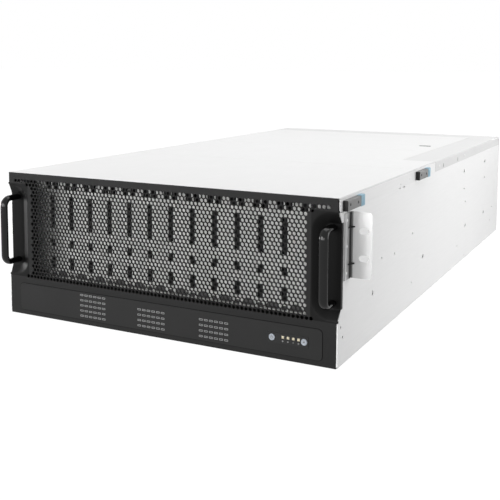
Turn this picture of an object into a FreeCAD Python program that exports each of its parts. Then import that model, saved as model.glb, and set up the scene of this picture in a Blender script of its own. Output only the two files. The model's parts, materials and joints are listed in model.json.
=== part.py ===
import FreeCAD, Part
import math
import os
from FreeCAD import Vector

# Top-loading disk enclosure, 4 rack units high, for seventy-eight disk drives.
# Millimetres. +X is the viewer's right seen from the front, +Y runs to the rear, +Z is up.
# While modelling, Y = 0 is the front plane of the bezel and Z = 0 is the underside.
# On export everything moves along Y, so that the origin is the bottom centre of the whole part.

# Chassis and covers
CHASSIS_WIDTH = 434.0
CHASSIS_HEIGHT = 176.0
CHASSIS_DEPTH = 824.0
TUB_SHEET = 1.2
COVER_SHEET = 1.0
COVER_FLANGE_HEIGHT = 14.4
SLIDE_GAP = 0.3          # between pieces that lift, slide or lie against each other
FLANGE_GAP = 0.4         # between a cover flange and the lip behind it
SEAM_GAP = 0.6           # between two covers

# Bezel and its handle pockets
BEZEL_SHEET = 1.5
BEZEL_INSET = 1.5        # from each side of the chassis to the edge of the bezel
BEZEL_DROP = 0.3         # from the top of the chassis to the top of the bezel
FOLD_GAP = 0.6           # from the upper fold of the bezel to the cover above it
BEZEL_BOTTOM = 0.3
BEZEL_RETURN = 11.0      # depth of the folded edges
POCKET_DEPTH = 6.0
POCKET_WIDTH = 30.4      # from the side of the chassis inwards
POCKET_SLOPE = 11.5       # run of the sloped inner wall
POCKET_END_SLOPE = 12.7   # run of the sloped upper and lower walls
POCKET_BOTTOM = 47.8
POCKET_DROP = 13.5       # from the top of the chassis to the pocket
POCKET_REACH = 0.2       # the pocket floor passes the side of the chassis
POCKET_CORNER = 9.0
POCKET_FLANGE = 6.0      # folded outer edge of the pocket floor

# Honeycomb field
MESH_INSET = 2.6         # from the mouth of a pocket to the opening for the field
MESH_BOTTOM = 46.2
MESH_DROP = 6.4          # from the top of the chassis to that opening
MESH_FIT = 0.1
MESH_BORDER = 5.0
HEX_PITCH = 25.0         # five times the pitch of the real field
HEX_WEB = 4.0

# Front handles
HANDLE_LOW_LEG = 6.7    # from the lower end of the pocket floor to the lower leg
HANDLE_HIGH_LEG = 4.5    # from the upper leg to the upper end of the pocket floor
HANDLE_REACH = 21.5      # ahead of the front plane
HANDLE_WIDTH = 10.0      # oval section, along X
HANDLE_THICKNESS = 7.0
HANDLE_BEND = 9.0
HANDLE_FACETS = 8        # sides of the faceted oval

# Lower overlay, control window, buttons and lights
OVERLAY_INSET = 16.5     # from each side of the chassis
OVERLAY_BOTTOM = 6.2
OVERLAY_TOP = 39.3
OVERLAY_THICKNESS = 0.6
OVERLAY_CORNER = 5.0
WINDOW_WIDTH = 46.2
WINDOW_INSET = 15.2      # from the right-hand end of the overlay
WINDOW_BOTTOM = 17.9
WINDOW_TOP = 29.1
WINDOW_THICKNESS = 0.9
WINDOW_FIT = 0.1
BUTTON_DIAMETER = 7.0
BUTTON_MARGIN = 4.7      # from the end of the window to the button's centre
BUTTON_PROUD = 0.7
BUTTON_LENGTH = 8.0
BUTTON_TRAVEL = 1.5
BUTTON_GAP = 0.25        # round the button
LIGHT_SIZE = 2.9
LIGHT_PITCH = 6.0
LIGHT_COUNT = 4
LIGHT_RISE = 1.4         # above the middle of the window
LIGHT_SHIFT = 3.1        # from the middle of the window to the middle of the lights
LIGHT_GAP = 0.1
BOARD_THICKNESS = 1.6
CONTROL_BOARD_MARGIN = 8.0
SWITCH_SIZE = 6.0
SWITCH_HEIGHT = 2.4
POST_DIAMETER = 4.0

# Rack ears
EAR_REACH = 24.3         # beside the chassis, which makes 482.6 over both ears
RACK_SLOT_REACH = 15.55  # from the chassis to the slots, which makes 465.1 between them
RACK_SLOT_PITCH = 28.575
RACK_SLOT_DROP = 34.1    # from the top of the ear to the middle of its slots
RACK_SLOT_LENGTH = 10.5
RACK_SLOT_WIDTH = 7.0
EAR_SHEET = 1.5
EAR_FRONT = 14.0
EAR_FLANGE_Y = 30.5
EAR_DROP = 17.4          # from the top of the chassis
EAR_HEIGHT = 69.5
EAR_CORNER = 4.0

# Cover latches
LATCH_LENGTH = 39.5
LATCH_HEIGHT = 11.0
LATCH_PROUD = 5.5
LATCH_WALL = 1.2
LATCH_DROP = 3.4         # from the top of the chassis
LATCH_TAB_LENGTH = 13.0
LATCH_TAB_HEIGHT = 11.6
LATCH_TAB_PROUD = 5.8
LATCH_TAB_BEVEL = 2.0
FRONT_LATCH_SETBACK = 7.6   # from the front edge of a cover to its latch housing
MIDDLE_LATCH_SETBACK = 2.7

# Drive cage
CAGE_FRONT = 36.0        # front face of the wall behind the honeycomb
CAGE_INSET = 9.5         # from the left side of the chassis
POWER_CHANNEL = 47.5     # from the cage to the right side of the chassis
REAR_ZONE = 96.8         # from the cage to the rear
DRIVE_COLUMNS = 13
DRIVE_ROWS = 6
COLUMN_GAP = 2.9         # between drives side by side
ROW_GAP = 13.4           # between rows of drives
DRIVE_DROP = 1.3         # from the top of the cage to the drives
BASEPLANE_HEIGHT = 12.0
BASEPLANE_MARGIN = 3.0
STANDOFF_DIAMETER = 6.0
CONNECTOR_LENGTH = 33.0
CONNECTOR_HEIGHT = 6.5
DIVIDER_DROP = 6.0       # the dividers end this far below the cage walls
DIVIDER_WINDOWS = 2
RAIL_WIDTH = 9.0
RAIL_HEIGHT = 6.0
RAIL_WALL = 1.2
WALL_SLOT_WIDTH = 6.0
WALL_LONG_DROPS = (64.9, 23.4)      # below the top of the cage
WALL_SQUARE_DROPS = (87.9, 78.9)
WALL_SHORT_DROPS = (116.9, 100.4)
WALL_NOTCH_WIDTH = 13.0
WALL_NOTCH_DEPTH = 14.0
WALL_ARCH_RADIUS = 6.0
WALL_ARCH_BASE = 38.0
WALL_ARCH_SIDES = 4

# Fixed top frame and cover seams
STRIP_SETBACK = 98.8     # from the front seam to the fixed strip
REAR_BAND = 49.0
LEDGE = 1.5
FINGER_CUP_LENGTH = 20.0
FINGER_CUP_WIDTH = 10.0
FINGER_CUP_DEPTH = 3.0
FINGER_CUP_SETBACK = 82.8    # from the rear seam
FINGER_CUP_INSET = 27.0  # from the right-hand edge of the rear cover

# Power supplies
PSU_WIDTH = 40.0
PSU_HEADROOM = 20.2      # above the upper supply
PSU_LENGTH = 183.0
BAY_FIT = 0.5            # round a module in its bay
SHELF_SHEET = 1.2
SHELF_RISE = 3.0         # from the floor of the tub to the lowest shelf
INLET_WIDTH = 17.0
INLET_HEIGHT = 25.0
INLET_DEPTH = 16.0
INLET_CENTRE = 18.0      # above the underside of the supply
PSU_HANDLE_REACH = 24.0
PSU_HANDLE_SPAN = 30.0
PSU_HANDLE_BAR = 4.0
PSU_HANDLE_WIDTH = 8.0
PSU_HANDLE_DROP = 23.5   # from the top of a supply to the middle of its handle
PSU_TAB_WIDTH = 4.0
PSU_TAB_HEIGHT = 14.0
PSU_TAB_REACH = 12.0
PSU_TAB_INSET = 3.0
POWER_PLUG_HEIGHT = 40.0
POWER_PLUG_DEPTH = 6.0

# Fans
FAN_HEADROOM = 5.7       # above the fans
FAN_RISE = 3.3           # from the expander modules to the fans
FAN_DEPTH = 38.0
FAN_RIM = 2.0            # thinnest wall round the bore
FAN_COUNT = 3
FAN_MARGIN = 5.0         # what the row of fans leaves of the cage width
FAN_TIP_GAP = 1.2
FAN_BORE_SIDES = 24
FAN_HUB = 36.0
FAN_HUB_SIDES = 14
FAN_BLADES = 7
FAN_BLADE_THICKNESS = 1.6
FAN_BLADE_CHORD = 22.0
FAN_BLADE_ANGLE = 40.0
FAN_SHAFT = 5.0
FAN_SHAFT_FIT = 0.06
FAN_BASE = 4.0
FAN_STRUT = 4.0
GRILLE_PITCH = 21.0
GRILLE_WEB = 2.5

# Expander modules
EXPANDER_MARGIN = 1.5    # from the sides of the cage
EXPANDER_HEIGHT = 68.0
EXPANDER_LENGTH = 84.0
EXPANDER_GAP = 6.0       # between the two modules
PORT_COUNT = 4
PORT_WIDTH = 22.0
PORT_HEIGHT = 9.5
PORT_DEPTH = 12.0
PORT_PITCH = 30.0
PORT_CENTRE = 22.0       # above the underside of the module
LEVER_LENGTH = 78.0
LEVER_HEIGHT = 9.0
LEVER_THICKNESS = 4.0
LEVER_CENTRE = 52.0      # above the underside of the module
LEVER_PIN = 4.0
LEVER_PIN_FIT = 0.06
LEVER_LUG = 3.0

# Slots for the rack rails in the side walls: distances behind the front plane
LOW_RAIL_SLOTS = [108.0, 313.0, 560.0, 697.0]
HIGH_RAIL_SLOTS = [544.0, 697.0]
LOW_RAIL_HEIGHT = 53.0
HIGH_RAIL_DROP = 34.0    # from the top of the chassis
RAIL_SLOT_LENGTH = 8.0
RAIL_SLOT_HEIGHT = 4.0

# Places that several pieces share
SIDE = CHASSIS_WIDTH / 2
INNER_SIDE = SIDE - TUB_SHEET
COVER_UNDERSIDE = CHASSIS_HEIGHT - COVER_SHEET
FLANGE_BOTTOM = CHASSIS_HEIGHT - COVER_FLANGE_HEIGHT
LIP_SIDE = SIDE - COVER_SHEET - FLANGE_GAP
LIP_TOP = COVER_UNDERSIDE - SLIDE_GAP
BEZEL_SIDE = SIDE - BEZEL_INSET
BEZEL_TOP = CHASSIS_HEIGHT - BEZEL_DROP
FOLD_TOP = COVER_UNDERSIDE - FOLD_GAP
COVER_FRONT = BEZEL_SHEET + SLIDE_GAP
POCKET_INNER = SIDE - POCKET_WIDTH
POCKET_TOP = CHASSIS_HEIGHT - POCKET_DROP
MESH_WIDTH = 2 * (POCKET_INNER - MESH_INSET)
MESH_TOP = CHASSIS_HEIGHT - MESH_DROP
FLOOR_INNER = POCKET_INNER + POCKET_SLOPE
FLOOR_OUTER = SIDE + POCKET_REACH
FLOOR_BOTTOM = POCKET_BOTTOM + POCKET_END_SLOPE
FLOOR_TOP = POCKET_TOP - POCKET_END_SLOPE
WALL_START = max(POCKET_DEPTH + POCKET_FLANGE, BEZEL_SHEET + BEZEL_RETURN) + SLIDE_GAP
HANDLE_X = (FLOOR_INNER + FLOOR_OUTER) / 2
HANDLE_LEGS = [FLOOR_BOTTOM + HANDLE_LOW_LEG, FLOOR_TOP - HANDLE_HIGH_LEG]
HANDLE_SPAN = HANDLE_LEGS[1] - HANDLE_LEGS[0]
HANDLE_CENTRE = (HANDLE_LEGS[0] + HANDLE_LEGS[1]) / 2
OVERLAY_WIDTH = 2 * (SIDE - OVERLAY_INSET)
WINDOW_RIGHT = OVERLAY_WIDTH / 2 - WINDOW_INSET
WINDOW_LEFT = WINDOW_RIGHT - WINDOW_WIDTH
WINDOW_MIDDLE = (WINDOW_BOTTOM + WINDOW_TOP) / 2
BUTTON_PLACES = [WINDOW_LEFT + BUTTON_MARGIN, WINDOW_RIGHT - BUTTON_MARGIN]
BUTTON_REAR = BUTTON_LENGTH - BUTTON_PROUD - WINDOW_THICKNESS
SWITCH_FRONT = BUTTON_REAR + BUTTON_TRAVEL + SLIDE_GAP
CONTROL_BOARD_Y = SWITCH_FRONT + SWITCH_HEIGHT
EAR_TOP = CHASSIS_HEIGHT - EAR_DROP
EAR_BOTTOM = EAR_TOP - EAR_HEIGHT
RACK_SLOT_CENTRE = EAR_TOP - RACK_SLOT_DROP
LATCH_TOP = CHASSIS_HEIGHT - LATCH_DROP
CAGE_START = CAGE_FRONT + TUB_SHEET
CAGE_END = CHASSIS_DEPTH - REAR_ZONE
CAGE_LEFT = CAGE_INSET - SIDE
CAGE_RIGHT = SIDE - POWER_CHANNEL
CAGE_MIDDLE = (CAGE_LEFT + CAGE_RIGHT) / 2
COLUMN_PITCH = (CAGE_RIGHT - CAGE_LEFT) / DRIVE_COLUMNS
ROW_PITCH = (CAGE_END - CAGE_START) / DRIVE_ROWS
WALL_TOP = LIP_TOP - RAIL_HEIGHT - SLIDE_GAP
WALL_SLOT_DROPS = (WALL_LONG_DROPS, WALL_SQUARE_DROPS, WALL_SHORT_DROPS)
WALL_SLOTS = [(WALL_TOP - low, WALL_TOP - high) for low, high in WALL_SLOT_DROPS]
BOARD_TOP = BASEPLANE_HEIGHT + BOARD_THICKNESS
DRIVE_BOTTOM = BOARD_TOP + CONNECTOR_HEIGHT
DRIVE_TOP = WALL_TOP - DRIVE_DROP
DRIVE_THICKNESS = COLUMN_PITCH - COLUMN_GAP
DRIVE_WIDTH = ROW_PITCH - ROW_GAP
SEAMS = [CAGE_START + 2 * ROW_PITCH, CAGE_START + 4 * ROW_PITCH]
STRIP_FRONT = SEAMS[0] + STRIP_SETBACK
FINGER_CUP_Y = SEAMS[1] + FINGER_CUP_SETBACK
STRIP_LEFT = CAGE_RIGHT + TUB_SHEET
COVER_RIGHT = STRIP_LEFT - SLIDE_GAP
BAND_FRONT = CHASSIS_DEPTH - REAR_BAND
PANEL_FRONT = CHASSIS_DEPTH - TUB_SHEET
PSU_MIDDLE = (STRIP_LEFT + INNER_SIDE) / 2
PSU_FRONT = CHASSIS_DEPTH - PSU_LENGTH
SHELF_BOTTOM = TUB_SHEET + SHELF_RISE
MODULE_BOTTOM = SHELF_BOTTOM + SHELF_SHEET + SLIDE_GAP
PSU_STEP = 2 * SLIDE_GAP + SHELF_SHEET
PSU_HEIGHT = (LIP_TOP - PSU_HEADROOM - MODULE_BOTTOM - PSU_STEP) / 2
PSU_BOTTOMS = [MODULE_BOTTOM, MODULE_BOTTOM + PSU_HEIGHT + PSU_STEP]
EXPANDER_WIDTH = (CAGE_RIGHT - CAGE_LEFT - EXPANDER_GAP) / 2 - EXPANDER_MARGIN
EXPANDER_SPACING = EXPANDER_WIDTH + EXPANDER_GAP
FAN_TOP = LIP_TOP - FAN_HEADROOM
FAN_BOTTOM = MODULE_BOTTOM + EXPANDER_HEIGHT + FAN_RISE
FAN_SIZE = FAN_TOP - FAN_BOTTOM
FAN_CENTRE_Z = (FAN_TOP + FAN_BOTTOM) / 2
FAN_BORE = FAN_SIZE - 2 * FAN_RIM
FAN_PITCH = (CAGE_RIGHT - CAGE_LEFT - FAN_MARGIN) / FAN_COUNT
FAN_PLACES = [CAGE_MIDDLE + (i - (FAN_COUNT - 1) / 2) * FAN_PITCH for i in range(FAN_COUNT)]
FAN_FRONT = PANEL_FRONT - FAN_DEPTH
EXPANDER_PLACES = [CAGE_MIDDLE - EXPANDER_SPACING / 2, CAGE_MIDDLE + EXPANDER_SPACING / 2]
LATCH_FRONTS = {"front": COVER_FRONT + FRONT_LATCH_SETBACK,
                "middle": SEAMS[0] + SEAM_GAP / 2 + MIDDLE_LATCH_SETBACK}
REAR_REACH = CHASSIS_DEPTH + PSU_HANDLE_REACH
CENTRE_Y = (REAR_REACH - HANDLE_REACH) / 2

PARTS = {}


def box(x, y, z):
    """A block from three (low, high) pairs."""
    size = [high - low for low, high in (x, y, z)]
    return Part.makeBox(size[0], size[1], size[2], Vector(x[0], y[0], z[0]))


def side_pair(side, near, far):
    """The (low, high) pair on one side of the middle, from two distances."""
    return tuple(sorted((side * near, side * far)))


def rod(diameter, length, start, axis):
    """A round bar from a start point along an axis."""
    return Part.makeCylinder(diameter / 2, length, Vector(*start), Vector(*axis))


def outline(points):
    """A closed wire through points in an X-Z plane at Y = 0."""
    corners = [Vector(x, 0, z) for x, z in points]
    return Part.makePolygon(corners + corners[:1])


def rectangle(x, z):
    return outline([(x[0], z[0]), (x[1], z[0]), (x[1], z[1]), (x[0], z[1])])


def rounded_rectangle(x, z, radius, y=0.0):
    """A rectangle with round corners, as one wire in the plane at Y."""
    bends = [(x[1], z[1], 0), (x[0], z[1], 90), (x[0], z[0], 180), (x[1], z[0], 270)]
    edges = []
    for corner_x, corner_z, start in bends:
        turn = math.radians(start + 45)
        centre_x = corner_x - radius * math.copysign(1, math.cos(turn))
        centre_z = corner_z - radius * math.copysign(1, math.sin(turn))
        points = []
        for angle in (start, start + 45, start + 90):
            a = math.radians(angle)
            points.append(Vector(centre_x + radius * math.cos(a), y, centre_z + radius * math.sin(a)))
        edges.append(Part.Arc(*points).toShape())
    wire = []
    for edge, following in zip(edges, edges[1:] + edges[:1]):
        wire += [edge, Part.makeLine(edge.Vertexes[-1].Point, following.Vertexes[0].Point)]
    return Part.Wire(wire)


def polygon(x, z, width, height, sides):
    """A faceted round or oval, with a flat at the top."""
    turns = [2 * math.pi * (i + 0.5) / sides + math.pi / 2 for i in range(sides)]
    grow = 1 / math.cos(math.pi / sides)
    reach_x = grow * width / 2
    reach_z = grow * height / 2
    return outline([(x + reach_x * math.cos(a), z + reach_z * math.sin(a)) for a in turns])


def hexagon(x, z, across):
    """A hexagon with a corner at the top, given its width across the flats."""
    radius = across / math.sqrt(3)
    turns = [math.radians(60 * i + 30) for i in range(6)]
    return outline([(x + radius * math.cos(a), z + radius * math.sin(a)) for a in turns])


def honeycomb(x, z, pitch, web, keep=lambda px, pz: True):
    """Hexagons in staggered rows that fill a rectangle, centred in it."""
    across = pitch - web
    corner = across / math.sqrt(3)
    row_pitch = pitch * math.sqrt(3) / 2
    middle_x = (x[0] + x[1]) / 2
    middle_z = (z[0] + z[1]) / 2
    half_rows = int((middle_z - z[0] - corner) / row_pitch)
    half_columns = int((middle_x - x[0]) / pitch) + 1
    holes = []
    for row in range(-half_rows, half_rows + 1):
        shift = pitch / 2 if row % 2 else 0.0
        for column in range(-half_columns, half_columns + 1):
            px = middle_x + column * pitch + shift
            pz = middle_z + row * row_pitch
            inside = x[0] + across / 2 <= px <= x[1] - across / 2
            if inside and keep(px, pz):
                holes.append(hexagon(px, pz, across))
    return holes


def sheet(edge, holes, y, thickness):
    """A flat sheet that faces the front, with its holes."""
    face = Part.makeFace(Part.makeCompound([edge] + holes), "Part::FaceMakerBullseye")
    plate = face.extrude(Vector(0, thickness, 0))
    plate.translate(Vector(0, y, 0))
    return plate


def add(name, *solids):
    PARTS[name] = solids[0] if len(solids) == 1 else Part.makeCompound(list(solids))


def inside_outline(top):
    """The outline of a full-width sheet inside the tub, stepped in below its lips."""
    lower_side = INNER_SIDE - SLIDE_GAP
    upper_side = LIP_SIDE - TUB_SHEET - SLIDE_GAP
    step = FLANGE_BOTTOM - 2 * SLIDE_GAP - TUB_SHEET
    half = [(lower_side, TUB_SHEET), (lower_side, step), (upper_side, step), (upper_side, top)]
    return outline(half + [(-x, z) for x, z in reversed(half)])


def chassis_tub():
    """Folded bottom and sides. The top of each side steps in behind the cover flanges."""
    step = FLANGE_BOTTOM - SLIDE_GAP
    lip_inner = LIP_SIDE - TUB_SHEET
    half = [(SIDE, 0), (SIDE, step), (LIP_SIDE, step), (LIP_SIDE, LIP_TOP), (lip_inner, LIP_TOP),
            (lip_inner, step - TUB_SHEET), (INNER_SIDE, step - TUB_SHEET), (INNER_SIDE, TUB_SHEET)]
    mirrored = [(-x, z) for x, z in reversed(half)]
    tub = Part.Face(outline(half + mirrored)).extrude(Vector(0, CHASSIS_DEPTH, 0))
    tub = tub.cut(box((-INNER_SIDE, INNER_SIDE), (-1, BEZEL_SHEET + SLIDE_GAP), (-1, TUB_SHEET + 1)))
    rail_slots = [(y, LOW_RAIL_HEIGHT) for y in LOW_RAIL_SLOTS]
    rail_slots += [(y, CHASSIS_HEIGHT - HIGH_RAIL_DROP) for y in HIGH_RAIL_SLOTS]
    for side in (-1, 1):
        pocket_x = side_pair(side, lip_inner - 1, SIDE + 1)
        pocket_z = (POCKET_BOTTOM - SLIDE_GAP, LIP_TOP + 1)
        tub = tub.cut(box(pocket_x, (-1, WALL_START), pocket_z))
        for y, z in rail_slots:
            slot_y = (y - RAIL_SLOT_LENGTH / 2, y + RAIL_SLOT_LENGTH / 2)
            slot_z = (z - RAIL_SLOT_HEIGHT / 2, z + RAIL_SLOT_HEIGHT / 2)
            tub = tub.cut(box(side_pair(side, INNER_SIDE - 1, SIDE + 1), slot_y, slot_z))
    add("chassis_tub", tub)


def pocket(side, grow, y_front, y_floor, outer):
    """The tapered body of a handle pocket, larger all round by grow, open to the side."""
    mouth_z = (POCKET_BOTTOM - grow, POCKET_TOP + grow)
    floor_z = (FLOOR_BOTTOM - grow, FLOOR_TOP + grow)
    mouth_x = side_pair(side, POCKET_INNER - grow, outer)
    floor_x = side_pair(side, FLOOR_INNER - grow, outer)
    mouth = rounded_rectangle(mouth_x, mouth_z, POCKET_CORNER, y_front)
    floor = rounded_rectangle(floor_x, floor_z, POCKET_CORNER, y_floor)
    return Part.makeLoft([mouth, floor], True, True)


def front_bezel():
    """Pressed front sheet with folded edges and a pocket behind each handle."""
    mesh = rectangle((-MESH_WIDTH / 2, MESH_WIDTH / 2), (MESH_BOTTOM, MESH_TOP))
    bezel = sheet(rectangle((-BEZEL_SIDE, BEZEL_SIDE), (BEZEL_BOTTOM, BEZEL_TOP)), [mesh], 0, BEZEL_SHEET)
    fold = (BEZEL_SHEET, BEZEL_SHEET + BEZEL_RETURN)
    bezel = bezel.fuse(box((-BEZEL_SIDE, BEZEL_SIDE), fold, (FOLD_TOP - BEZEL_SHEET, FOLD_TOP)))
    lower_fold = (TUB_SHEET + SLIDE_GAP, TUB_SHEET + SLIDE_GAP + BEZEL_SHEET)
    bezel = bezel.fuse(box((-BEZEL_SIDE, BEZEL_SIDE), fold, lower_fold))
    far = SIDE + POCKET_WIDTH
    for side in (-1, 1):
        low_return = (lower_fold[0], POCKET_BOTTOM - 2 * BEZEL_SHEET)
        bezel = bezel.fuse(box(side_pair(side, BEZEL_SIDE - BEZEL_SHEET, BEZEL_SIDE), fold, low_return))
        skin = pocket(side, BEZEL_SHEET, 0, POCKET_DEPTH + BEZEL_SHEET, far)
        keep_x = side_pair(side, 0, FLOOR_OUTER)
        keep_z = (FLOOR_BOTTOM - BEZEL_SHEET, FLOOR_TOP + BEZEL_SHEET)
        inside_y = (0, POCKET_DEPTH + BEZEL_SHEET)
        inside = box(side_pair(side, 0, BEZEL_SIDE), inside_y, (BEZEL_BOTTOM, BEZEL_TOP))
        floor = box(keep_x, (POCKET_DEPTH, POCKET_DEPTH + BEZEL_SHEET), keep_z)
        bezel = bezel.fuse(skin.common(inside.fuse(floor)))
        bezel = bezel.cut(pocket(side, 0, 0, POCKET_DEPTH, far))
        edge_y = (POCKET_DEPTH, POCKET_DEPTH + POCKET_FLANGE)
        edge_x = side_pair(side, FLOOR_OUTER - BEZEL_SHEET, FLOOR_OUTER)
        bezel = bezel.fuse(box(edge_x, edge_y, (FLOOR_BOTTOM, FLOOR_TOP)))
    for x in BUTTON_PLACES:
        start = (x, -BEZEL_SHEET, WINDOW_MIDDLE)
        bezel = bezel.cut(rod(BUTTON_DIAMETER + 2 * BUTTON_GAP, 4 * BEZEL_SHEET, start, (0, 1, 0)))
    for hole in light_blocks(LIGHT_GAP, -BEZEL_SHEET, 2 * BEZEL_SHEET):
        bezel = bezel.cut(hole)
    add("front_bezel", bezel.removeSplitter())


def light_blocks(grow, y_front, y_rear):
    """The four light pipes, or their holes when they are grown a little."""
    middle = (WINDOW_LEFT + WINDOW_RIGHT) / 2 + LIGHT_SHIFT
    half = LIGHT_SIZE / 2 + grow
    blocks = []
    for i in range(LIGHT_COUNT):
        x = middle + (i - (LIGHT_COUNT - 1) / 2) * LIGHT_PITCH
        z = WINDOW_MIDDLE + LIGHT_RISE
        blocks.append(box((x - half, x + half), (y_front, y_rear), (z - half, z + half)))
    return blocks


def bezel_mesh():
    """The honeycomb field that fills the opening of the bezel."""
    x = (-MESH_WIDTH / 2 + MESH_FIT, MESH_WIDTH / 2 - MESH_FIT)
    z = (MESH_BOTTOM + MESH_FIT, MESH_TOP - MESH_FIT)
    field_x = (x[0] + MESH_BORDER, x[1] - MESH_BORDER)
    field_z = (z[0] + MESH_BORDER, z[1] - MESH_BORDER)
    holes = honeycomb(field_x, field_z, HEX_PITCH, HEX_WEB)
    add("bezel_mesh", sheet(rectangle(x, z), holes, 0, BEZEL_SHEET))


def front_handles():
    """U-shaped bars of oval section that stand on the pocket floors."""
    handles = []
    reach = HANDLE_REACH - HANDLE_THICKNESS / 2
    run = POCKET_DEPTH + reach - HANDLE_BEND
    mirror = (Vector(0, 0, HANDLE_CENTRE), Vector(0, 0, 1))
    for side in (-1, 1):
        x = side * HANDLE_X
        low = HANDLE_LEGS[0]
        foot = Part.Face(polygon(x, low, HANDLE_WIDTH, HANDLE_THICKNESS, HANDLE_FACETS))
        foot.translate(Vector(0, POCKET_DEPTH, 0))
        leg = foot.extrude(Vector(0, -run, 0))
        foot.translate(Vector(0, -run, 0))
        pivot = Vector(x, POCKET_DEPTH - run, low + HANDLE_BEND)
        bend = foot.revolve(pivot, Vector(1, 0, 0), -90)
        foot.rotate(pivot, Vector(1, 0, 0), -90)
        grip = foot.extrude(Vector(0, 0, HANDLE_SPAN - 2 * HANDLE_BEND))
        handle = leg.multiFuse([bend, grip, leg.mirror(*mirror), bend.mirror(*mirror)])
        handles.append(handle.removeSplitter())
    add("front_handles", *handles)


def oval(x, z, width, height, y):
    """Two half circles joined by straight sides, as a wire in the plane at Y."""
    r = height / 2
    flat = width / 2 - r
    right = [Vector(x + flat, y, z - r), Vector(x + flat + r, y, z), Vector(x + flat, y, z + r)]
    left = [Vector(x - flat, y, z + r), Vector(x - flat - r, y, z), Vector(x - flat, y, z - r)]
    top = Part.makeLine(right[2], left[0])
    bottom = Part.makeLine(left[2], right[0])
    return Part.Wire([Part.Arc(*right).toShape(), top, Part.Arc(*left).toShape(), bottom])


def lower_front():
    """Overlay, control window, buttons, light pipes, and the board behind them."""
    overlay_x = (-OVERLAY_WIDTH / 2, OVERLAY_WIDTH / 2)
    overlay_edge = rounded_rectangle(overlay_x, (OVERLAY_BOTTOM, OVERLAY_TOP), OVERLAY_CORNER)
    window_x = (WINDOW_LEFT, WINDOW_RIGHT)
    window_z = (WINDOW_BOTTOM, WINDOW_TOP)
    gap_x = (window_x[0] - WINDOW_FIT, window_x[1] + WINDOW_FIT)
    gap_z = (window_z[0] - WINDOW_FIT, window_z[1] + WINDOW_FIT)
    overlay_gap = rectangle(gap_x, gap_z)
    add("lower_overlay", sheet(overlay_edge, [overlay_gap], -OVERLAY_THICKNESS, OVERLAY_THICKNESS))
    window = box(window_x, (-WINDOW_THICKNESS, 0), window_z)
    for x in BUTTON_PLACES:
        start = (x, -2 * WINDOW_THICKNESS, WINDOW_MIDDLE)
        window = window.cut(rod(BUTTON_DIAMETER + 2 * BUTTON_GAP, 3 * WINDOW_THICKNESS, start, (0, 1, 0)))
    for hole in light_blocks(LIGHT_GAP, -2 * WINDOW_THICKNESS, WINDOW_THICKNESS):
        window = window.cut(hole)
    add("control_window", window)
    front = -WINDOW_THICKNESS - BUTTON_PROUD
    for name, x in zip(("power_button", "locate_button"), BUTTON_PLACES):
        add(name, rod(BUTTON_DIAMETER, BUTTON_LENGTH, (x, front, WINDOW_MIDDLE), (0, 1, 0)))
    add("light_pipes", *light_blocks(0, -WINDOW_THICKNESS, CONTROL_BOARD_Y - SLIDE_GAP))
    margin = CONTROL_BOARD_MARGIN
    board_x = (WINDOW_LEFT - margin, WINDOW_RIGHT + margin)
    board_z = (WINDOW_BOTTOM - margin, WINDOW_TOP + margin)
    board = box(board_x, (CONTROL_BOARD_Y, CONTROL_BOARD_Y + BOARD_THICKNESS), board_z)
    half = SWITCH_SIZE / 2
    for x in BUTTON_PLACES:
        height = (WINDOW_MIDDLE - half, WINDOW_MIDDLE + half)
        board = board.fuse(box((x - half, x + half), (SWITCH_FRONT, CONTROL_BOARD_Y), height))
    add("control_board", board)
    posts = []
    for x in (board_x[0] + POST_DIAMETER, board_x[1] - POST_DIAMETER):
        for z in (board_z[0] + POST_DIAMETER, board_z[1] - POST_DIAMETER):
            post = hexagon(x, z, POST_DIAMETER)
            posts.append(sheet(post, [], BEZEL_SHEET, CONTROL_BOARD_Y - BEZEL_SHEET))
    add("control_board_posts", *posts)


def rack_ears():
    """L-shaped brackets with two oblong slots each, fixed to the side walls."""
    for side, name in ((-1, "left_ear"), (1, "right_ear")):
        outer = SIDE + EAR_REACH
        flange_x = side_pair(side, SIDE, outer)
        flange_y = (EAR_FLANGE_Y, EAR_FLANGE_Y + EAR_SHEET)
        ear = box(flange_x, flange_y, (EAR_BOTTOM, EAR_TOP))
        corners = [edge for edge in ear.Edges if edge_is_outer_corner(edge, side * outer)]
        ear = ear.makeFillet(EAR_CORNER, corners)
        ear = ear.fuse(box(side_pair(side, SIDE, SIDE + EAR_SHEET), (EAR_FRONT, EAR_FLANGE_Y),
                           (EAR_BOTTOM, EAR_TOP)))
        for step in (-0.5, 0.5):
            z = RACK_SLOT_CENTRE + step * RACK_SLOT_PITCH
            x = side * (SIDE + RACK_SLOT_REACH)
            slot = oval(x, z, RACK_SLOT_LENGTH, RACK_SLOT_WIDTH, 0)
            ear = ear.cut(sheet(slot, [], flange_y[0] - 1, EAR_SHEET + 2))
        add(name, ear.removeSplitter())


def edge_is_outer_corner(edge, x):
    """True for an edge along Y at the given X."""
    bounds = edge.BoundBox
    return bounds.YLength > EAR_SHEET / 2 and abs(bounds.XMin - x) < 1e-6 and abs(bounds.XMax - x) < 1e-6


def cover_pan(y, right, flange_sides):
    """A cover sheet with its side flanges."""
    pan = box((-SIDE, right), y, (COVER_UNDERSIDE, CHASSIS_HEIGHT))
    for side in flange_sides:
        flange_x = side_pair(side, SIDE - COVER_SHEET, SIDE)
        pan = pan.fuse(box(flange_x, y, (FLANGE_BOTTOM, CHASSIS_HEIGHT)))
    return pan


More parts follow.
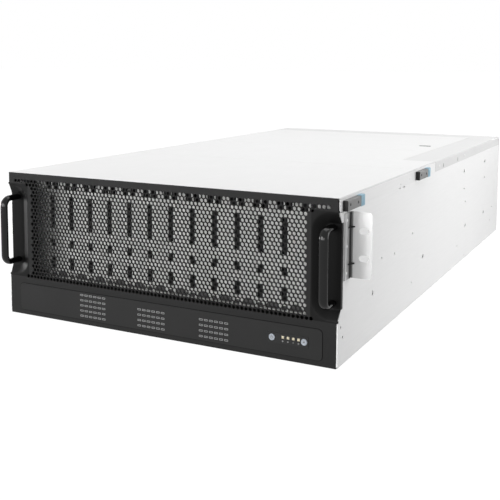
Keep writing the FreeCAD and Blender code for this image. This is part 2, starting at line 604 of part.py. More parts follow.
def covers():
    """Three lids: the middle one narrows where the fixed strip of the top frame starts."""
    half_gap = SEAM_GAP / 2
    add("front_cover", cover_pan((COVER_FRONT, SEAMS[0] - half_gap), SIDE, (-1, 1)).removeSplitter())
    wide = cover_pan((SEAMS[0] + half_gap, STRIP_FRONT - SEAM_GAP), SIDE, (-1, 1))
    narrow = cover_pan((STRIP_FRONT - SEAM_GAP, SEAMS[1] - half_gap), COVER_RIGHT, (-1,))
    add("middle_cover", wide.fuse(narrow).removeSplitter())
    rear = cover_pan((SEAMS[1] + half_gap, BAND_FRONT - SLIDE_GAP), COVER_RIGHT, (-1,))
    cup_middle = COVER_RIGHT - FINGER_CUP_INSET
    cup_x = (cup_middle - FINGER_CUP_LENGTH / 2, cup_middle + FINGER_CUP_LENGTH / 2)
    cup_y = (FINGER_CUP_Y - FINGER_CUP_WIDTH / 2, FINGER_CUP_Y + FINGER_CUP_WIDTH / 2)
    cup_floor = CHASSIS_HEIGHT - FINGER_CUP_DEPTH
    grow = COVER_SHEET
    skin_x = (cup_x[0] - grow, cup_x[1] + grow)
    skin_y = (cup_y[0] - grow, cup_y[1] + grow)
    skin = box(skin_x, skin_y, (cup_floor - grow, COVER_UNDERSIDE))
    rear = rear.fuse(skin).cut(box(cup_x, cup_y, (cup_floor, CHASSIS_HEIGHT + 1)))
    add("rear_cover", rear.removeSplitter())


def top_frame():
    """Fixed strip over the power channel and band along the rear, with ledges under the covers."""
    sheet_z = (COVER_UNDERSIDE, CHASSIS_HEIGHT)
    frame = box((STRIP_LEFT, SIDE), (STRIP_FRONT, CHASSIS_DEPTH), sheet_z)
    frame = frame.fuse(box((-SIDE, SIDE), (BAND_FRONT, CHASSIS_DEPTH), sheet_z))
    flange_z = (FLANGE_BOTTOM, CHASSIS_HEIGHT)
    frame = frame.fuse(box((SIDE - COVER_SHEET, SIDE), (STRIP_FRONT, CHASSIS_DEPTH), flange_z))
    frame = frame.fuse(box((-SIDE, -SIDE + COVER_SHEET), (BAND_FRONT, CHASSIS_DEPTH), flange_z))
    ledge_z = (LIP_TOP - COVER_SHEET, LIP_TOP)
    post_z = (LIP_TOP - COVER_SHEET, CHASSIS_HEIGHT)
    ledge_x = (STRIP_LEFT - LEDGE, STRIP_LEFT + COVER_SHEET)
    frame = frame.fuse(box(ledge_x, (STRIP_FRONT, CHASSIS_DEPTH - TUB_SHEET - SLIDE_GAP), ledge_z))
    post_x = (STRIP_LEFT, STRIP_LEFT + COVER_SHEET)
    frame = frame.fuse(box(post_x, (STRIP_FRONT, BAND_FRONT + COVER_SHEET), post_z))
    band_x = (-LIP_SIDE + TUB_SHEET + SLIDE_GAP, STRIP_LEFT)
    frame = frame.fuse(box(band_x, (BAND_FRONT - LEDGE, BAND_FRONT + COVER_SHEET), ledge_z))
    frame = frame.fuse(box(band_x, (BAND_FRONT, BAND_FRONT + COVER_SHEET), post_z))
    add("top_frame", frame.removeSplitter())


def upright_edges(shape, place):
    """The edges along Z at a place given as (X, Y)."""
    found = []
    for edge in shape.Edges:
        bounds = edge.BoundBox
        at_x = abs(bounds.XMin - place[0]) < 1e-6 and abs(bounds.XMax - place[0]) < 1e-6
        at_y = abs(bounds.YMin - place[1]) < 1e-6 and abs(bounds.YMax - place[1]) < 1e-6
        if at_x and at_y:
            found.append(edge)
    return found


def latches():
    """Sprung sliding latches on the cover flanges: housing, bar and tab."""
    z = (LATCH_TOP - LATCH_HEIGHT, LATCH_TOP)
    for place, y_front in LATCH_FRONTS.items():
        y = (y_front, y_front + LATCH_LENGTH)
        housings = []
        for side, name in ((-1, "left"), (1, "right")):
            channel = box(side_pair(side, SIDE, SIDE + LATCH_PROUD), y, z)
            hollow_z = (z[0] + LATCH_WALL, z[1] - LATCH_WALL)
            hollow_x = side_pair(side, SIDE - 1, SIDE + LATCH_PROUD - LATCH_WALL)
            hollow = box(hollow_x, (y[0] - 1, y[1] + 1), hollow_z)
            housings.append(channel.cut(hollow))
            gap = SLIDE_GAP
            bar_x = side_pair(side, SIDE + gap, SIDE + LATCH_PROUD - LATCH_WALL - gap)
            bar_y = (y[0] + gap, y[1] + gap)
            add(f"{place}_{name}_latch_bar", box(bar_x, bar_y, (hollow_z[0] + gap, hollow_z[1] - gap)))
            middle = (z[0] + z[1]) / 2
            tab_z = (middle - LATCH_TAB_HEIGHT / 2, middle + LATCH_TAB_HEIGHT / 2)
            tab_x = side_pair(side, SIDE + gap, SIDE + LATCH_TAB_PROUD)
            tab = box(tab_x, (bar_y[1], bar_y[1] + LATCH_TAB_LENGTH), tab_z)
            corner = (side * (SIDE + LATCH_TAB_PROUD), bar_y[1] + LATCH_TAB_LENGTH)
            bevelled = tab.makeChamfer(LATCH_TAB_BEVEL, upright_edges(tab, corner))
            add(f"{place}_{name}_latch_tab", bevelled)
        add(f"{place}_latch_housings", *housings)


def cage():
    """Walls of the drive cage, the cross rails under the seams, and the rear bulkhead."""
    lines = [CAGE_LEFT + i * COLUMN_PITCH for i in range(DRIVE_COLUMNS + 1)]
    half = WALL_SLOT_WIDTH / 2
    holes = []
    for x in lines[1:]:
        for span in WALL_SLOTS:
            holes.append(rectangle((x - half, x + half), span))
    for left, right in zip(lines, lines[1:]):
        holes.append(arch((left + right) / 2))
    wall = sheet(inside_outline(WALL_TOP), holes, CAGE_FRONT, TUB_SHEET)
    for x in lines[1:]:
        notch_x = (x - WALL_NOTCH_WIDTH / 2, x + WALL_NOTCH_WIDTH / 2)
        through = (CAGE_FRONT - 1, CAGE_START + 1)
        notch_bottom = WALL_TOP - WALL_NOTCH_DEPTH
        notch = box(notch_x, through, (notch_bottom, WALL_TOP + 1))
        tongue = box((x - half, x + half), through, (notch_bottom, WALL_TOP - half))
        wall = wall.cut(notch.cut(tongue))
    add("cage_front_wall", wall)
    length = (CAGE_START, CAGE_END)
    height = (TUB_SHEET, WALL_TOP)
    left_wall = box((CAGE_LEFT - TUB_SHEET, CAGE_LEFT), length, height)
    right_wall = box((CAGE_RIGHT, CAGE_RIGHT + TUB_SHEET), (CAGE_START, PANEL_FRONT), height)
    add("cage_side_walls", left_wall, right_wall)
    dividers = []
    window = (CAGE_RIGHT - CAGE_LEFT) / DIVIDER_WINDOWS
    divider_z = (BOARD_TOP, WALL_TOP - DIVIDER_DROP)
    for row in range(1, DRIVE_ROWS):
        y = CAGE_START + row * ROW_PITCH - TUB_SHEET / 2
        openings = []
        for i in range(DIVIDER_WINDOWS):
            low_x = CAGE_LEFT + i * window + COLUMN_PITCH / 2
            openings.append(rectangle((low_x, low_x + window - COLUMN_PITCH), WALL_SLOTS[0]))
        dividers.append(sheet(rectangle((CAGE_LEFT, CAGE_RIGHT), divider_z), openings, y, TUB_SHEET))
    add("cage_dividers", *dividers)
    rails = []
    rail_z = (WALL_TOP + SLIDE_GAP, LIP_TOP)
    rail_left = -LIP_SIDE + TUB_SHEET + SLIDE_GAP
    for seam, rail_right in zip(SEAMS, (-rail_left, STRIP_LEFT - LEDGE - SLIDE_GAP)):
        y = (seam - RAIL_WIDTH / 2, seam + RAIL_WIDTH / 2)
        hollow_y = (y[0] + RAIL_WALL, y[1] - RAIL_WALL)
        hollow = box((rail_left - 1, rail_right + 1), hollow_y, (rail_z[0] - 1, rail_z[1] - RAIL_WALL))
        rails.append(box((rail_left, rail_right), y, rail_z).cut(hollow))
    add("cross_rails", *rails)
    rear_holes = []
    for x in FAN_PLACES:
        reach = FAN_BORE / 2 - FAN_BASE
        rear_holes.append(rectangle((x - reach, x + reach), (FAN_CENTRE_Z - reach, FAN_CENTRE_Z + reach)))
    for x in EXPANDER_PLACES:
        reach = EXPANDER_WIDTH / 2 - COLUMN_PITCH
        plug_z = (MODULE_BOTTOM + EXPANDER_HEIGHT / 4, MODULE_BOTTOM + EXPANDER_HEIGHT / 2)
        rear_holes.append(rectangle((x - reach, x + reach), plug_z))
    bulkhead = rectangle((CAGE_LEFT - TUB_SHEET, CAGE_RIGHT), (TUB_SHEET, WALL_TOP))
    add("rear_bulkhead", sheet(bulkhead, rear_holes, CAGE_END, TUB_SHEET))


def arch(x):
    """A low arched opening in the front wall of the cage."""
    turns = [math.radians(180 * i / WALL_ARCH_SIDES) for i in range(WALL_ARCH_SIDES + 1)]
    r = WALL_ARCH_RADIUS
    return outline([(x + r * math.cos(a), WALL_ARCH_BASE + r * math.sin(a)) for a in turns])


def drives():
    """Baseplane with its connectors, and the rows of drives that stand on them."""
    board_x = (CAGE_LEFT + BASEPLANE_MARGIN, CAGE_RIGHT - BASEPLANE_MARGIN)
    board_y = (CAGE_START + BASEPLANE_MARGIN, CAGE_END - BASEPLANE_MARGIN)
    add("baseplane", box(board_x, board_y, (BASEPLANE_HEIGHT, BOARD_TOP)))
    standoffs = []
    inset = STANDOFF_DIAMETER
    for x in (board_x[0] + inset, CAGE_MIDDLE, board_x[1] - inset):
        for y in (board_y[0] + inset, (board_y[0] + board_y[1]) / 2, board_y[1] - inset):
            foot = hexagon(x, y, STANDOFF_DIAMETER)
            foot.rotate(Vector(0, 0, 0), Vector(1, 0, 0), 90)
            post = Part.Face(foot).extrude(Vector(0, 0, BASEPLANE_HEIGHT - TUB_SHEET))
            post = post.mirror(Vector(0, 0, 0), Vector(0, 1, 0))
            post.translate(Vector(0, 0, TUB_SHEET))
            standoffs.append(post)
    add("baseplane_standoffs", *standoffs)
    connectors = []
    for row in range(DRIVE_ROWS):
        y = CAGE_START + (row + 0.5) * ROW_PITCH
        drive_y = (y - DRIVE_WIDTH / 2, y + DRIVE_WIDTH / 2)
        drive_z = (DRIVE_BOTTOM, DRIVE_TOP)
        row_drives = []
        for column in range(DRIVE_COLUMNS):
            x = CAGE_LEFT + (column + 0.5) * COLUMN_PITCH
            row_drives.append(box((x - DRIVE_THICKNESS / 2, x + DRIVE_THICKNESS / 2), drive_y, drive_z))
        add(f"drive_row_{row + 1}", *row_drives)
        socket_y = (y - CONNECTOR_LENGTH / 2, y + CONNECTOR_LENGTH / 2)
        connectors.append(box(board_x, socket_y, (BOARD_TOP, DRIVE_BOTTOM)))
    add("drive_sockets", *connectors)


def rear_panel():
    """Rear sheet with the bays of the modules and an exhaust grille behind each fan."""
    holes = []
    sill = MODULE_BOTTOM - SLIDE_GAP
    psu_reach = PSU_WIDTH / 2 + BAY_FIT
    psu_bay_z = (sill, PSU_BOTTOMS[1] + PSU_HEIGHT + BAY_FIT)
    holes.append(rectangle((PSU_MIDDLE - psu_reach, PSU_MIDDLE + psu_reach), psu_bay_z))
    for x in EXPANDER_PLACES:
        reach = EXPANDER_WIDTH / 2 + BAY_FIT
        holes.append(rectangle((x - reach, x + reach), (sill, MODULE_BOTTOM + EXPANDER_HEIGHT + BAY_FIT)))
    for x in FAN_PLACES:
        reach = FAN_BORE / 2
        grille_x = (x - reach, x + reach)
        grille_z = (FAN_CENTRE_Z - reach, FAN_CENTRE_Z + reach)
        round_field = round_keep(x, FAN_CENTRE_Z, reach - GRILLE_PITCH / 2)
        holes += honeycomb(grille_x, grille_z, GRILLE_PITCH, GRILLE_WEB, round_field)
    add("rear_panel", sheet(inside_outline(LIP_TOP), holes, PANEL_FRONT, TUB_SHEET))


def round_keep(x, z, radius):
    """A test for points inside a circle."""
    return lambda px, pz: math.hypot(px - x, pz - z) <= radius


def fans():
    """Fan frames fixed to the rear panel, each with a shaft that carries its rotor."""
    frames = []
    half = FAN_SIZE / 2
    base_y = PANEL_FRONT - FAN_BASE
    rotor_front = FAN_FRONT + FAN_BASE
    shaft_length = base_y - rotor_front - FAN_BASE
    for i, x in enumerate(FAN_PLACES):
        z = FAN_CENTRE_Z
        bore = polygon(x, z, FAN_BORE, FAN_BORE, FAN_BORE_SIDES)
        frame = sheet(rectangle((x - half, x + half), (z - half, z + half)), [bore], FAN_FRONT, FAN_DEPTH)
        hub = sheet(polygon(x, z, FAN_HUB, FAN_HUB, FAN_HUB_SIDES), [], base_y, FAN_BASE)
        struts = []
        for reach_x, reach_z in ((half, FAN_STRUT / 2), (FAN_STRUT / 2, half)):
            strut_z = (z - reach_z, z + reach_z)
            struts.append(box((x - reach_x, x + reach_x), (base_y, PANEL_FRONT), strut_z))
        shaft = rod(FAN_SHAFT, shaft_length, (x, base_y, z), (0, -1, 0))
        frames.append(frame.multiFuse([hub, shaft] + struts).removeSplitter())
        add(f"fan_rotor_{i + 1}", fan_rotor(x, rotor_front, base_y - 2 * SLIDE_GAP, shaft_length))
    add("fan_frames", *frames)


def fan_rotor(x, front, rear, shaft_length):
    """Hub with pitched blades, bored for its shaft."""
    rotor = sheet(polygon(x, FAN_CENTRE_Z, FAN_HUB, FAN_HUB, FAN_HUB_SIDES), [], front, rear - front)
    centre = Vector(x, (front + rear) / 2, FAN_CENTRE_Z)
    chord = (-FAN_BLADE_CHORD / 2, FAN_BLADE_CHORD / 2)
    thick = (-FAN_BLADE_THICKNESS / 2, FAN_BLADE_THICKNESS / 2)
    tip = math.sqrt((FAN_BORE / 2 - FAN_TIP_GAP) ** 2 - (FAN_BLADE_CHORD / 2) ** 2)
    blades = []
    for i in range(FAN_BLADES):
        blade = box(chord, thick, (FAN_HUB / 4, tip))
        blade.rotate(Vector(0, 0, 0), Vector(0, 0, 1), FAN_BLADE_ANGLE)
        blade.rotate(Vector(0, 0, 0), Vector(0, 1, 0), 360 * i / FAN_BLADES)
        blade.translate(centre)
        blades.append(blade)
    start = (x, rear + 2 * SLIDE_GAP, FAN_CENTRE_Z)
    bore = rod(FAN_SHAFT + 2 * FAN_SHAFT_FIT, shaft_length + SLIDE_GAP, start, (0, -1, 0))
    return rotor.multiFuse(blades).removeSplitter().cut(bore)


def power_supplies():
    """Two hot-swap supplies on edge, the board they plug into and the shelves of all modules."""
    board_rear = PSU_FRONT - SLIDE_GAP - POWER_PLUG_DEPTH
    board_y = (board_rear - BOARD_THICKNESS, board_rear)
    board_x = (STRIP_LEFT + SLIDE_GAP, INNER_SIDE - SLIDE_GAP)
    board = box(board_x, board_y, (TUB_SHEET, PSU_BOTTOMS[1] + PSU_HEIGHT))
    shelves = []
    for bottom in PSU_BOTTOMS:
        shelf_z = (bottom - SLIDE_GAP - SHELF_SHEET, bottom - SLIDE_GAP)
        shelves.append(box(board_x, (PSU_FRONT, PANEL_FRONT), shelf_z))
    tray_x = (-INNER_SIDE + SLIDE_GAP, CAGE_RIGHT - SLIDE_GAP)
    tray_z = (SHELF_BOTTOM, SHELF_BOTTOM + SHELF_SHEET)
    shelves.append(box(tray_x, (CAGE_END + TUB_SHEET, PANEL_FRONT), tray_z))
    add("module_shelves", *shelves)
    for bottom, name in zip(PSU_BOTTOMS, ("lower", "upper")):
        x = (PSU_MIDDLE - PSU_WIDTH / 2, PSU_MIDDLE + PSU_WIDTH / 2)
        case = box(x, (PSU_FRONT, CHASSIS_DEPTH), (bottom, bottom + PSU_HEIGHT))
        inlet_x = (PSU_MIDDLE - INLET_WIDTH / 2, PSU_MIDDLE + INLET_WIDTH / 2)
        inlet_z = (bottom + INLET_CENTRE - INLET_HEIGHT / 2, bottom + INLET_CENTRE + INLET_HEIGHT / 2)
        case = case.cut(box(inlet_x, (CHASSIS_DEPTH - INLET_DEPTH, CHASSIS_DEPTH + 1), inlet_z))
        add(f"{name}_psu_case", case)
        handle_z = bottom + PSU_HEIGHT - PSU_HANDLE_DROP
        add(f"{name}_psu_handle", psu_handle(handle_z))
        tab_x = (x[1] - PSU_TAB_INSET - PSU_TAB_WIDTH, x[1] - PSU_TAB_INSET)
        tab_y = (CHASSIS_DEPTH + SLIDE_GAP, CHASSIS_DEPTH + PSU_TAB_REACH)
        tab_z = (handle_z - PSU_TAB_HEIGHT / 2, handle_z + PSU_TAB_HEIGHT / 2)
        add(f"{name}_psu_tab", box(tab_x, tab_y, tab_z))
        middle = bottom + PSU_HEIGHT / 2
        plug_z = (middle - POWER_PLUG_HEIGHT / 2, middle + POWER_PLUG_HEIGHT / 2)
        board = board.fuse(box(inlet_x, (board_y[1], board_y[1] + POWER_PLUG_DEPTH), plug_z))
    add("power_board", board)


def psu_handle(z):
    """A bent strap on the rear face of a power supply."""
    x = PSU_MIDDLE - PSU_WIDTH / 2 + PSU_HANDLE_WIDTH
    half_width = PSU_HANDLE_WIDTH / 2
    span = PSU_HANDLE_SPAN / 2
    reach = CHASSIS_DEPTH + PSU_HANDLE_REACH
    outer = box((x - half_width, x + half_width), (CHASSIS_DEPTH, reach), (z - span, z + span))
    bends = [e for e in outer.Edges if abs(e.BoundBox.YMin - reach) < 1e-6 and e.BoundBox.XLength > 1]
    outer = outer.makeChamfer(PSU_HANDLE_BAR, bends)
    gap_y = (CHASSIS_DEPTH - 1, reach - PSU_HANDLE_BAR)
    gap_z = (z - span + PSU_HANDLE_BAR, z + span - PSU_HANDLE_BAR)
    return outer.cut(box((x - half_width - 1, x + half_width + 1), gap_y, gap_z))


def expanders():
    """Two modules in the rear, each with its ports and an ejector lever."""
    z = (MODULE_BOTTOM, MODULE_BOTTOM + EXPANDER_HEIGHT)
    for i, middle in enumerate(EXPANDER_PLACES):
        x = (middle - EXPANDER_WIDTH / 2, middle + EXPANDER_WIDTH / 2)
        case = box(x, (CHASSIS_DEPTH - EXPANDER_LENGTH, CHASSIS_DEPTH), z)
        for port in range(PORT_COUNT):
            port_x = middle + (port - (PORT_COUNT - 1) / 2) * PORT_PITCH
            port_z = z[0] + PORT_CENTRE
            pocket_x = (port_x - PORT_WIDTH / 2, port_x + PORT_WIDTH / 2)
            pocket_z = (port_z - PORT_HEIGHT / 2, port_z + PORT_HEIGHT / 2)
            case = case.cut(box(pocket_x, (CHASSIS_DEPTH - PORT_DEPTH, CHASSIS_DEPTH + 1), pocket_z))
        pin_x = middle - LEVER_LENGTH / 2
        pin_y = CHASSIS_DEPTH + LEVER_THICKNESS
        pin_z = z[0] + LEVER_CENTRE
        reach = LEVER_HEIGHT / 2 + SLIDE_GAP
        for low in (pin_z - reach - LEVER_LUG, pin_z + reach):
            lug_x = (pin_x - LEVER_PIN, pin_x + LEVER_PIN)
            lug = box(lug_x, (CHASSIS_DEPTH, pin_y + LEVER_PIN), (low, low + LEVER_LUG))
            bore = rod(LEVER_PIN + 2 * LEVER_PIN_FIT, LEVER_LUG, (pin_x, pin_y, low), (0, 0, 1))
            case = case.fuse(lug.cut(bore))
        add(f"expander_{i + 1}_case", case.removeSplitter())
        half = LEVER_THICKNESS / 2
        bar_z = (pin_z - LEVER_HEIGHT / 2, pin_z + LEVER_HEIGHT / 2)
        bar = box((pin_x, pin_x + LEVER_LENGTH), (pin_y - half, pin_y + half), bar_z)
        pin_length = 2 * (reach + LEVER_LUG)
        pin = rod(LEVER_PIN, pin_length, (pin_x, pin_y, pin_z - pin_length / 2), (0, 0, 1))
        add(f"expander_{i + 1}_lever", bar.fuse(pin).removeSplitter())


def build():
    chassis_tub()
    front_bezel()
    bezel_mesh()
    front_handles()
    lower_front()
    rack_ears()
    covers()
    top_frame()
    latches()
    cage()
    drives()
    rear_panel()
    fans()
    power_supplies()
    expanders()


def export():
    os.makedirs("parts", exist_ok=True)
    for name, shape in PARTS.items():
        placed = shape.copy()
        placed.translate(Vector(0, -CENTRE_Y, 0))
        placed.exportStep(f"parts/{name}.step")


build()
export()
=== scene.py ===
import json
import math

import bmesh
import bpy
from mathutils import Matrix, Vector


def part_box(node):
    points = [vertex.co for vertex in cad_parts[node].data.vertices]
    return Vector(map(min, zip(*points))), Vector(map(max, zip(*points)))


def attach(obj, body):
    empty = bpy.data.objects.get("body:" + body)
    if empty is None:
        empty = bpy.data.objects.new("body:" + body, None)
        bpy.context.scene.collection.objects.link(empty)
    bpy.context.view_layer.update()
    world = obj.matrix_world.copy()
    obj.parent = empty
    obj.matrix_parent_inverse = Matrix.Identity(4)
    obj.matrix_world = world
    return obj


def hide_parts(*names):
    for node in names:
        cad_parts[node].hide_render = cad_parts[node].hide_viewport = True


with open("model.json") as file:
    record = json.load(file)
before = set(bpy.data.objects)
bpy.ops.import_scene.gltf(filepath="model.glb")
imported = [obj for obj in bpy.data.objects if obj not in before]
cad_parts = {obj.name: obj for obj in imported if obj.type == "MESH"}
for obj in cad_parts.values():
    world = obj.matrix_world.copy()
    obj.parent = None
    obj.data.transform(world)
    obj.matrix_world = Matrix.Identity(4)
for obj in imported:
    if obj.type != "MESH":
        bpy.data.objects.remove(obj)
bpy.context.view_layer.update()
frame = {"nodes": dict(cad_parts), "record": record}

# Top-loading disk enclosure. Sizes are millimetres, with Y counted from the front plane of the bezel.
MM = 0.001
FRONT_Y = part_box("bezel_mesh")[0][1]


def at(x, y, z):
    """A point of the scene, in metres."""
    return Vector((x * MM, FRONT_Y + y * MM, z * MM))


def extent(name):
    """The three (low, high) pairs of a CAD node, to a ten-thousandth of a millimetre."""
    low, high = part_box(name)
    origin = (0, FRONT_Y, 0)
    return [(round((a - o) / MM, 4), round((b - o) / MM, 4)) for a, b, o in zip(low, high, origin)]


# (low, high) pairs
def mirrored(side, near, far):
    """The pair on one side of the middle, from two distances."""
    return tuple(sorted((side * near, side * far)))


def around(centre, half):
    """The pair on both sides of a centre."""
    return centre - half, centre + half


def grown(pair, by):
    """A pair moved out at both ends, or in where by is negative."""
    return pair[0] - by, pair[1] + by


def middle(pair):
    """The middle of a pair."""
    return (pair[0] + pair[1]) / 2


# Node trees
def node(tree, kind, links=None, **settings):
    """Adds one node with its settings. Links maps an input to a value, an output or several outputs."""
    made = tree.nodes.new(kind)
    for key, value in settings.items():
        setattr(made, key, value)
    for key, value in (links or {}).items():
        if isinstance(value, bpy.types.NodeSocket):
            tree.links.new(value, made.inputs[key])
        elif isinstance(value, list) and isinstance(value[0], bpy.types.NodeSocket):
            for output in value:
                tree.links.new(output, made.inputs[key])
        else:
            made.inputs[key].default_value = value
    return made


def start_tree(name, inputs):
    """A modifier tree with its named inputs, the last of them Material, and its input node."""
    tree = bpy.data.node_groups.new(name, "GeometryNodeTree")
    tree.interface.new_socket("Geometry", in_out="INPUT", socket_type="NodeSocketGeometry")
    for label, kind in {**inputs, "Material": "Material"}.items():
        tree.interface.new_socket(label, in_out="INPUT", socket_type="NodeSocket" + kind)
    tree.interface.new_socket("Geometry", in_out="OUTPUT", socket_type="NodeSocketGeometry")
    return tree, node(tree, "NodeGroupInput")


def end_tree(tree, start, geometry):
    """Every tree ends in real geometry with its material."""
    real = node(tree, "GeometryNodeRealizeInstances", {"Geometry": geometry})
    painted = node(tree, "GeometryNodeSetMaterial",
                   {"Geometry": real.outputs[0], "Material": start.outputs["Material"]})
    node(tree, "NodeGroupOutput", {"Geometry": painted.outputs[0]})
    return tree


def run_tree(tree, base, values):
    """The plain mesh that a tree makes from a base mesh and its input values."""
    holder = bpy.data.objects.new("holder", base)
    bpy.context.scene.collection.objects.link(holder)
    modifier = holder.modifiers.new("tree", "NODES")
    modifier.node_group = tree
    for item in tree.interface.items_tree:
        if item.in_out == "INPUT" and item.name in values:
            modifier[item.identifier] = values[item.name]
    depsgraph = bpy.context.evaluated_depsgraph_get()
    mesh = bpy.data.meshes.new_from_object(holder.evaluated_get(depsgraph))
    bpy.data.objects.remove(holder)
    return mesh


def pierced_sheet_tree():
    """A flat sheet from its outlines, the edges of the base, with a hole at each loose point."""
    tree, start = start_tree("pierced_sheet", {"Hole sides": "Int", "Hole width": "Float",
                                               "Hole turn": "Float", "Thickness": "Float"})
    base = start.outputs["Geometry"]
    outlines = node(tree, "GeometryNodeMeshToCurve", {"Mesh": base})
    neighbours = node(tree, "GeometryNodeInputMeshVertexNeighbors")
    loose = node(tree, "FunctionNodeCompare", {2: neighbours.outputs[0], 3: 0},
                 data_type="INT", operation="EQUAL")
    points = node(tree, "GeometryNodeMeshToPoints", {"Mesh": base, "Selection": loose.outputs[0]})
    radius = node(tree, "ShaderNodeMath", {0: start.outputs["Hole width"], 1: 2.0}, operation="DIVIDE")
    ring = node(tree, "GeometryNodeCurvePrimitiveCircle",
                {"Resolution": start.outputs["Hole sides"], "Radius": radius.outputs[0]})
    turn = node(tree, "ShaderNodeCombineXYZ", {"Z": start.outputs["Hole turn"]})
    holes = node(tree, "GeometryNodeInstanceOnPoints",
                 {"Points": points.outputs[0], "Instance": ring.outputs[0], "Rotation": turn.outputs[0]})
    real_holes = node(tree, "GeometryNodeRealizeInstances", {"Geometry": holes.outputs[0]})
    curves = node(tree, "GeometryNodeJoinGeometry",
                  {"Geometry": [outlines.outputs[0], real_holes.outputs[0]]})
    face = node(tree, "GeometryNodeFillCurve", {"Curve": curves.outputs[0]}, mode="TRIANGLES")
    back = node(tree, "GeometryNodeFlipFaces", {"Mesh": face.outputs[0]})
    depth = node(tree, "GeometryNodeExtrudeMesh",
                 {"Mesh": back.outputs[0], "Offset": (0, 0, -1), "Offset Scale": start.outputs["Thickness"],
                  "Individual": False})
    both = node(tree, "GeometryNodeJoinGeometry", {"Geometry": [face.outputs[0], depth.outputs[0]]})
    closed = node(tree, "GeometryNodeMergeByDistance", {"Geometry": both.outputs[0], "Distance": 1e-6})
    return end_tree(tree, start, closed.outputs[0])


def set_on_points_tree():
    """Copies of one shape on the points of the base, each turned by the attribute turn."""
    tree, start = start_tree("set_on_points", {"Shape": "Object"})
    shape = node(tree, "GeometryNodeObjectInfo", {"Object": start.outputs["Shape"]})
    points = node(tree, "GeometryNodeMeshToPoints", {"Mesh": start.outputs["Geometry"]})
    turn = node(tree, "GeometryNodeInputNamedAttribute", {"Name": "turn"}, data_type="FLOAT_VECTOR")
    placed = node(tree, "GeometryNodeInstanceOnPoints",
                  {"Points": points.outputs[0], "Instance": shape.outputs["Geometry"],
                   "Rotation": turn.outputs[0]})
    return end_tree(tree, start, placed.outputs[0])


def bar_along_path_tree():
    """A bar of oval section that follows the edges of the base, with rounded bends."""
    tree, start = start_tree("bar_along_path", {"Bend": "Float", "Across": "Float", "Through": "Float"})
    path = node(tree, "GeometryNodeMeshToCurve", {"Mesh": start.outputs["Geometry"]})
    bent = node(tree, "GeometryNodeFilletCurve",
                {"Curve": path.outputs[0], "Radius": start.outputs["Bend"], "Count": 16}, mode="POLY")
    ring = node(tree, "GeometryNodeCurvePrimitiveCircle", {"Resolution": 32, "Radius": 0.5})
    size = node(tree, "ShaderNodeCombineXYZ",
                {0: start.outputs["Across"], 1: start.outputs["Through"], 2: 1.0})
    oval = node(tree, "GeometryNodeTransform", {"Geometry": ring.outputs[0], "Scale": size.outputs[0]})
    bar = node(tree, "GeometryNodeCurveToMesh",
               {"Curve": bent.outputs[0], "Profile Curve": oval.outputs[0], "Fill Caps": True})
    return end_tree(tree, start, bar.outputs[0])


PIERCED_SHEET = pierced_sheet_tree()
SET_ON_POINTS = set_on_points_tree()
BAR_ALONG_PATH = bar_along_path_tree()


# Materials
HANDLING_MARKS = 45.0            # breadth of the marks that handling leaves
WORN_AND_HIGHLIT_EDGE = 0.5                  # breadth of the edge band painted lighter, partly as wear and partly as painted highlight
EDGE_AGREEMENT = (0.99, 0.85)    # of a face and its rounded neighbour, on a flat and on an edge
NOISE_SPAN = (0.7, 1.3)          # of the grain and the marks together
DENT_STRENGTH = 0.6


def linear(code):
    """An sRGB hex colour as linear RGBA."""
    parts = [int(code[i:i + 2], 16) / 255 for i in (1, 3, 5)]
    return [c / 12.92 if c <= 0.04045 else ((c + 0.055) / 1.055) ** 2.4 for c in parts] + [1.0]


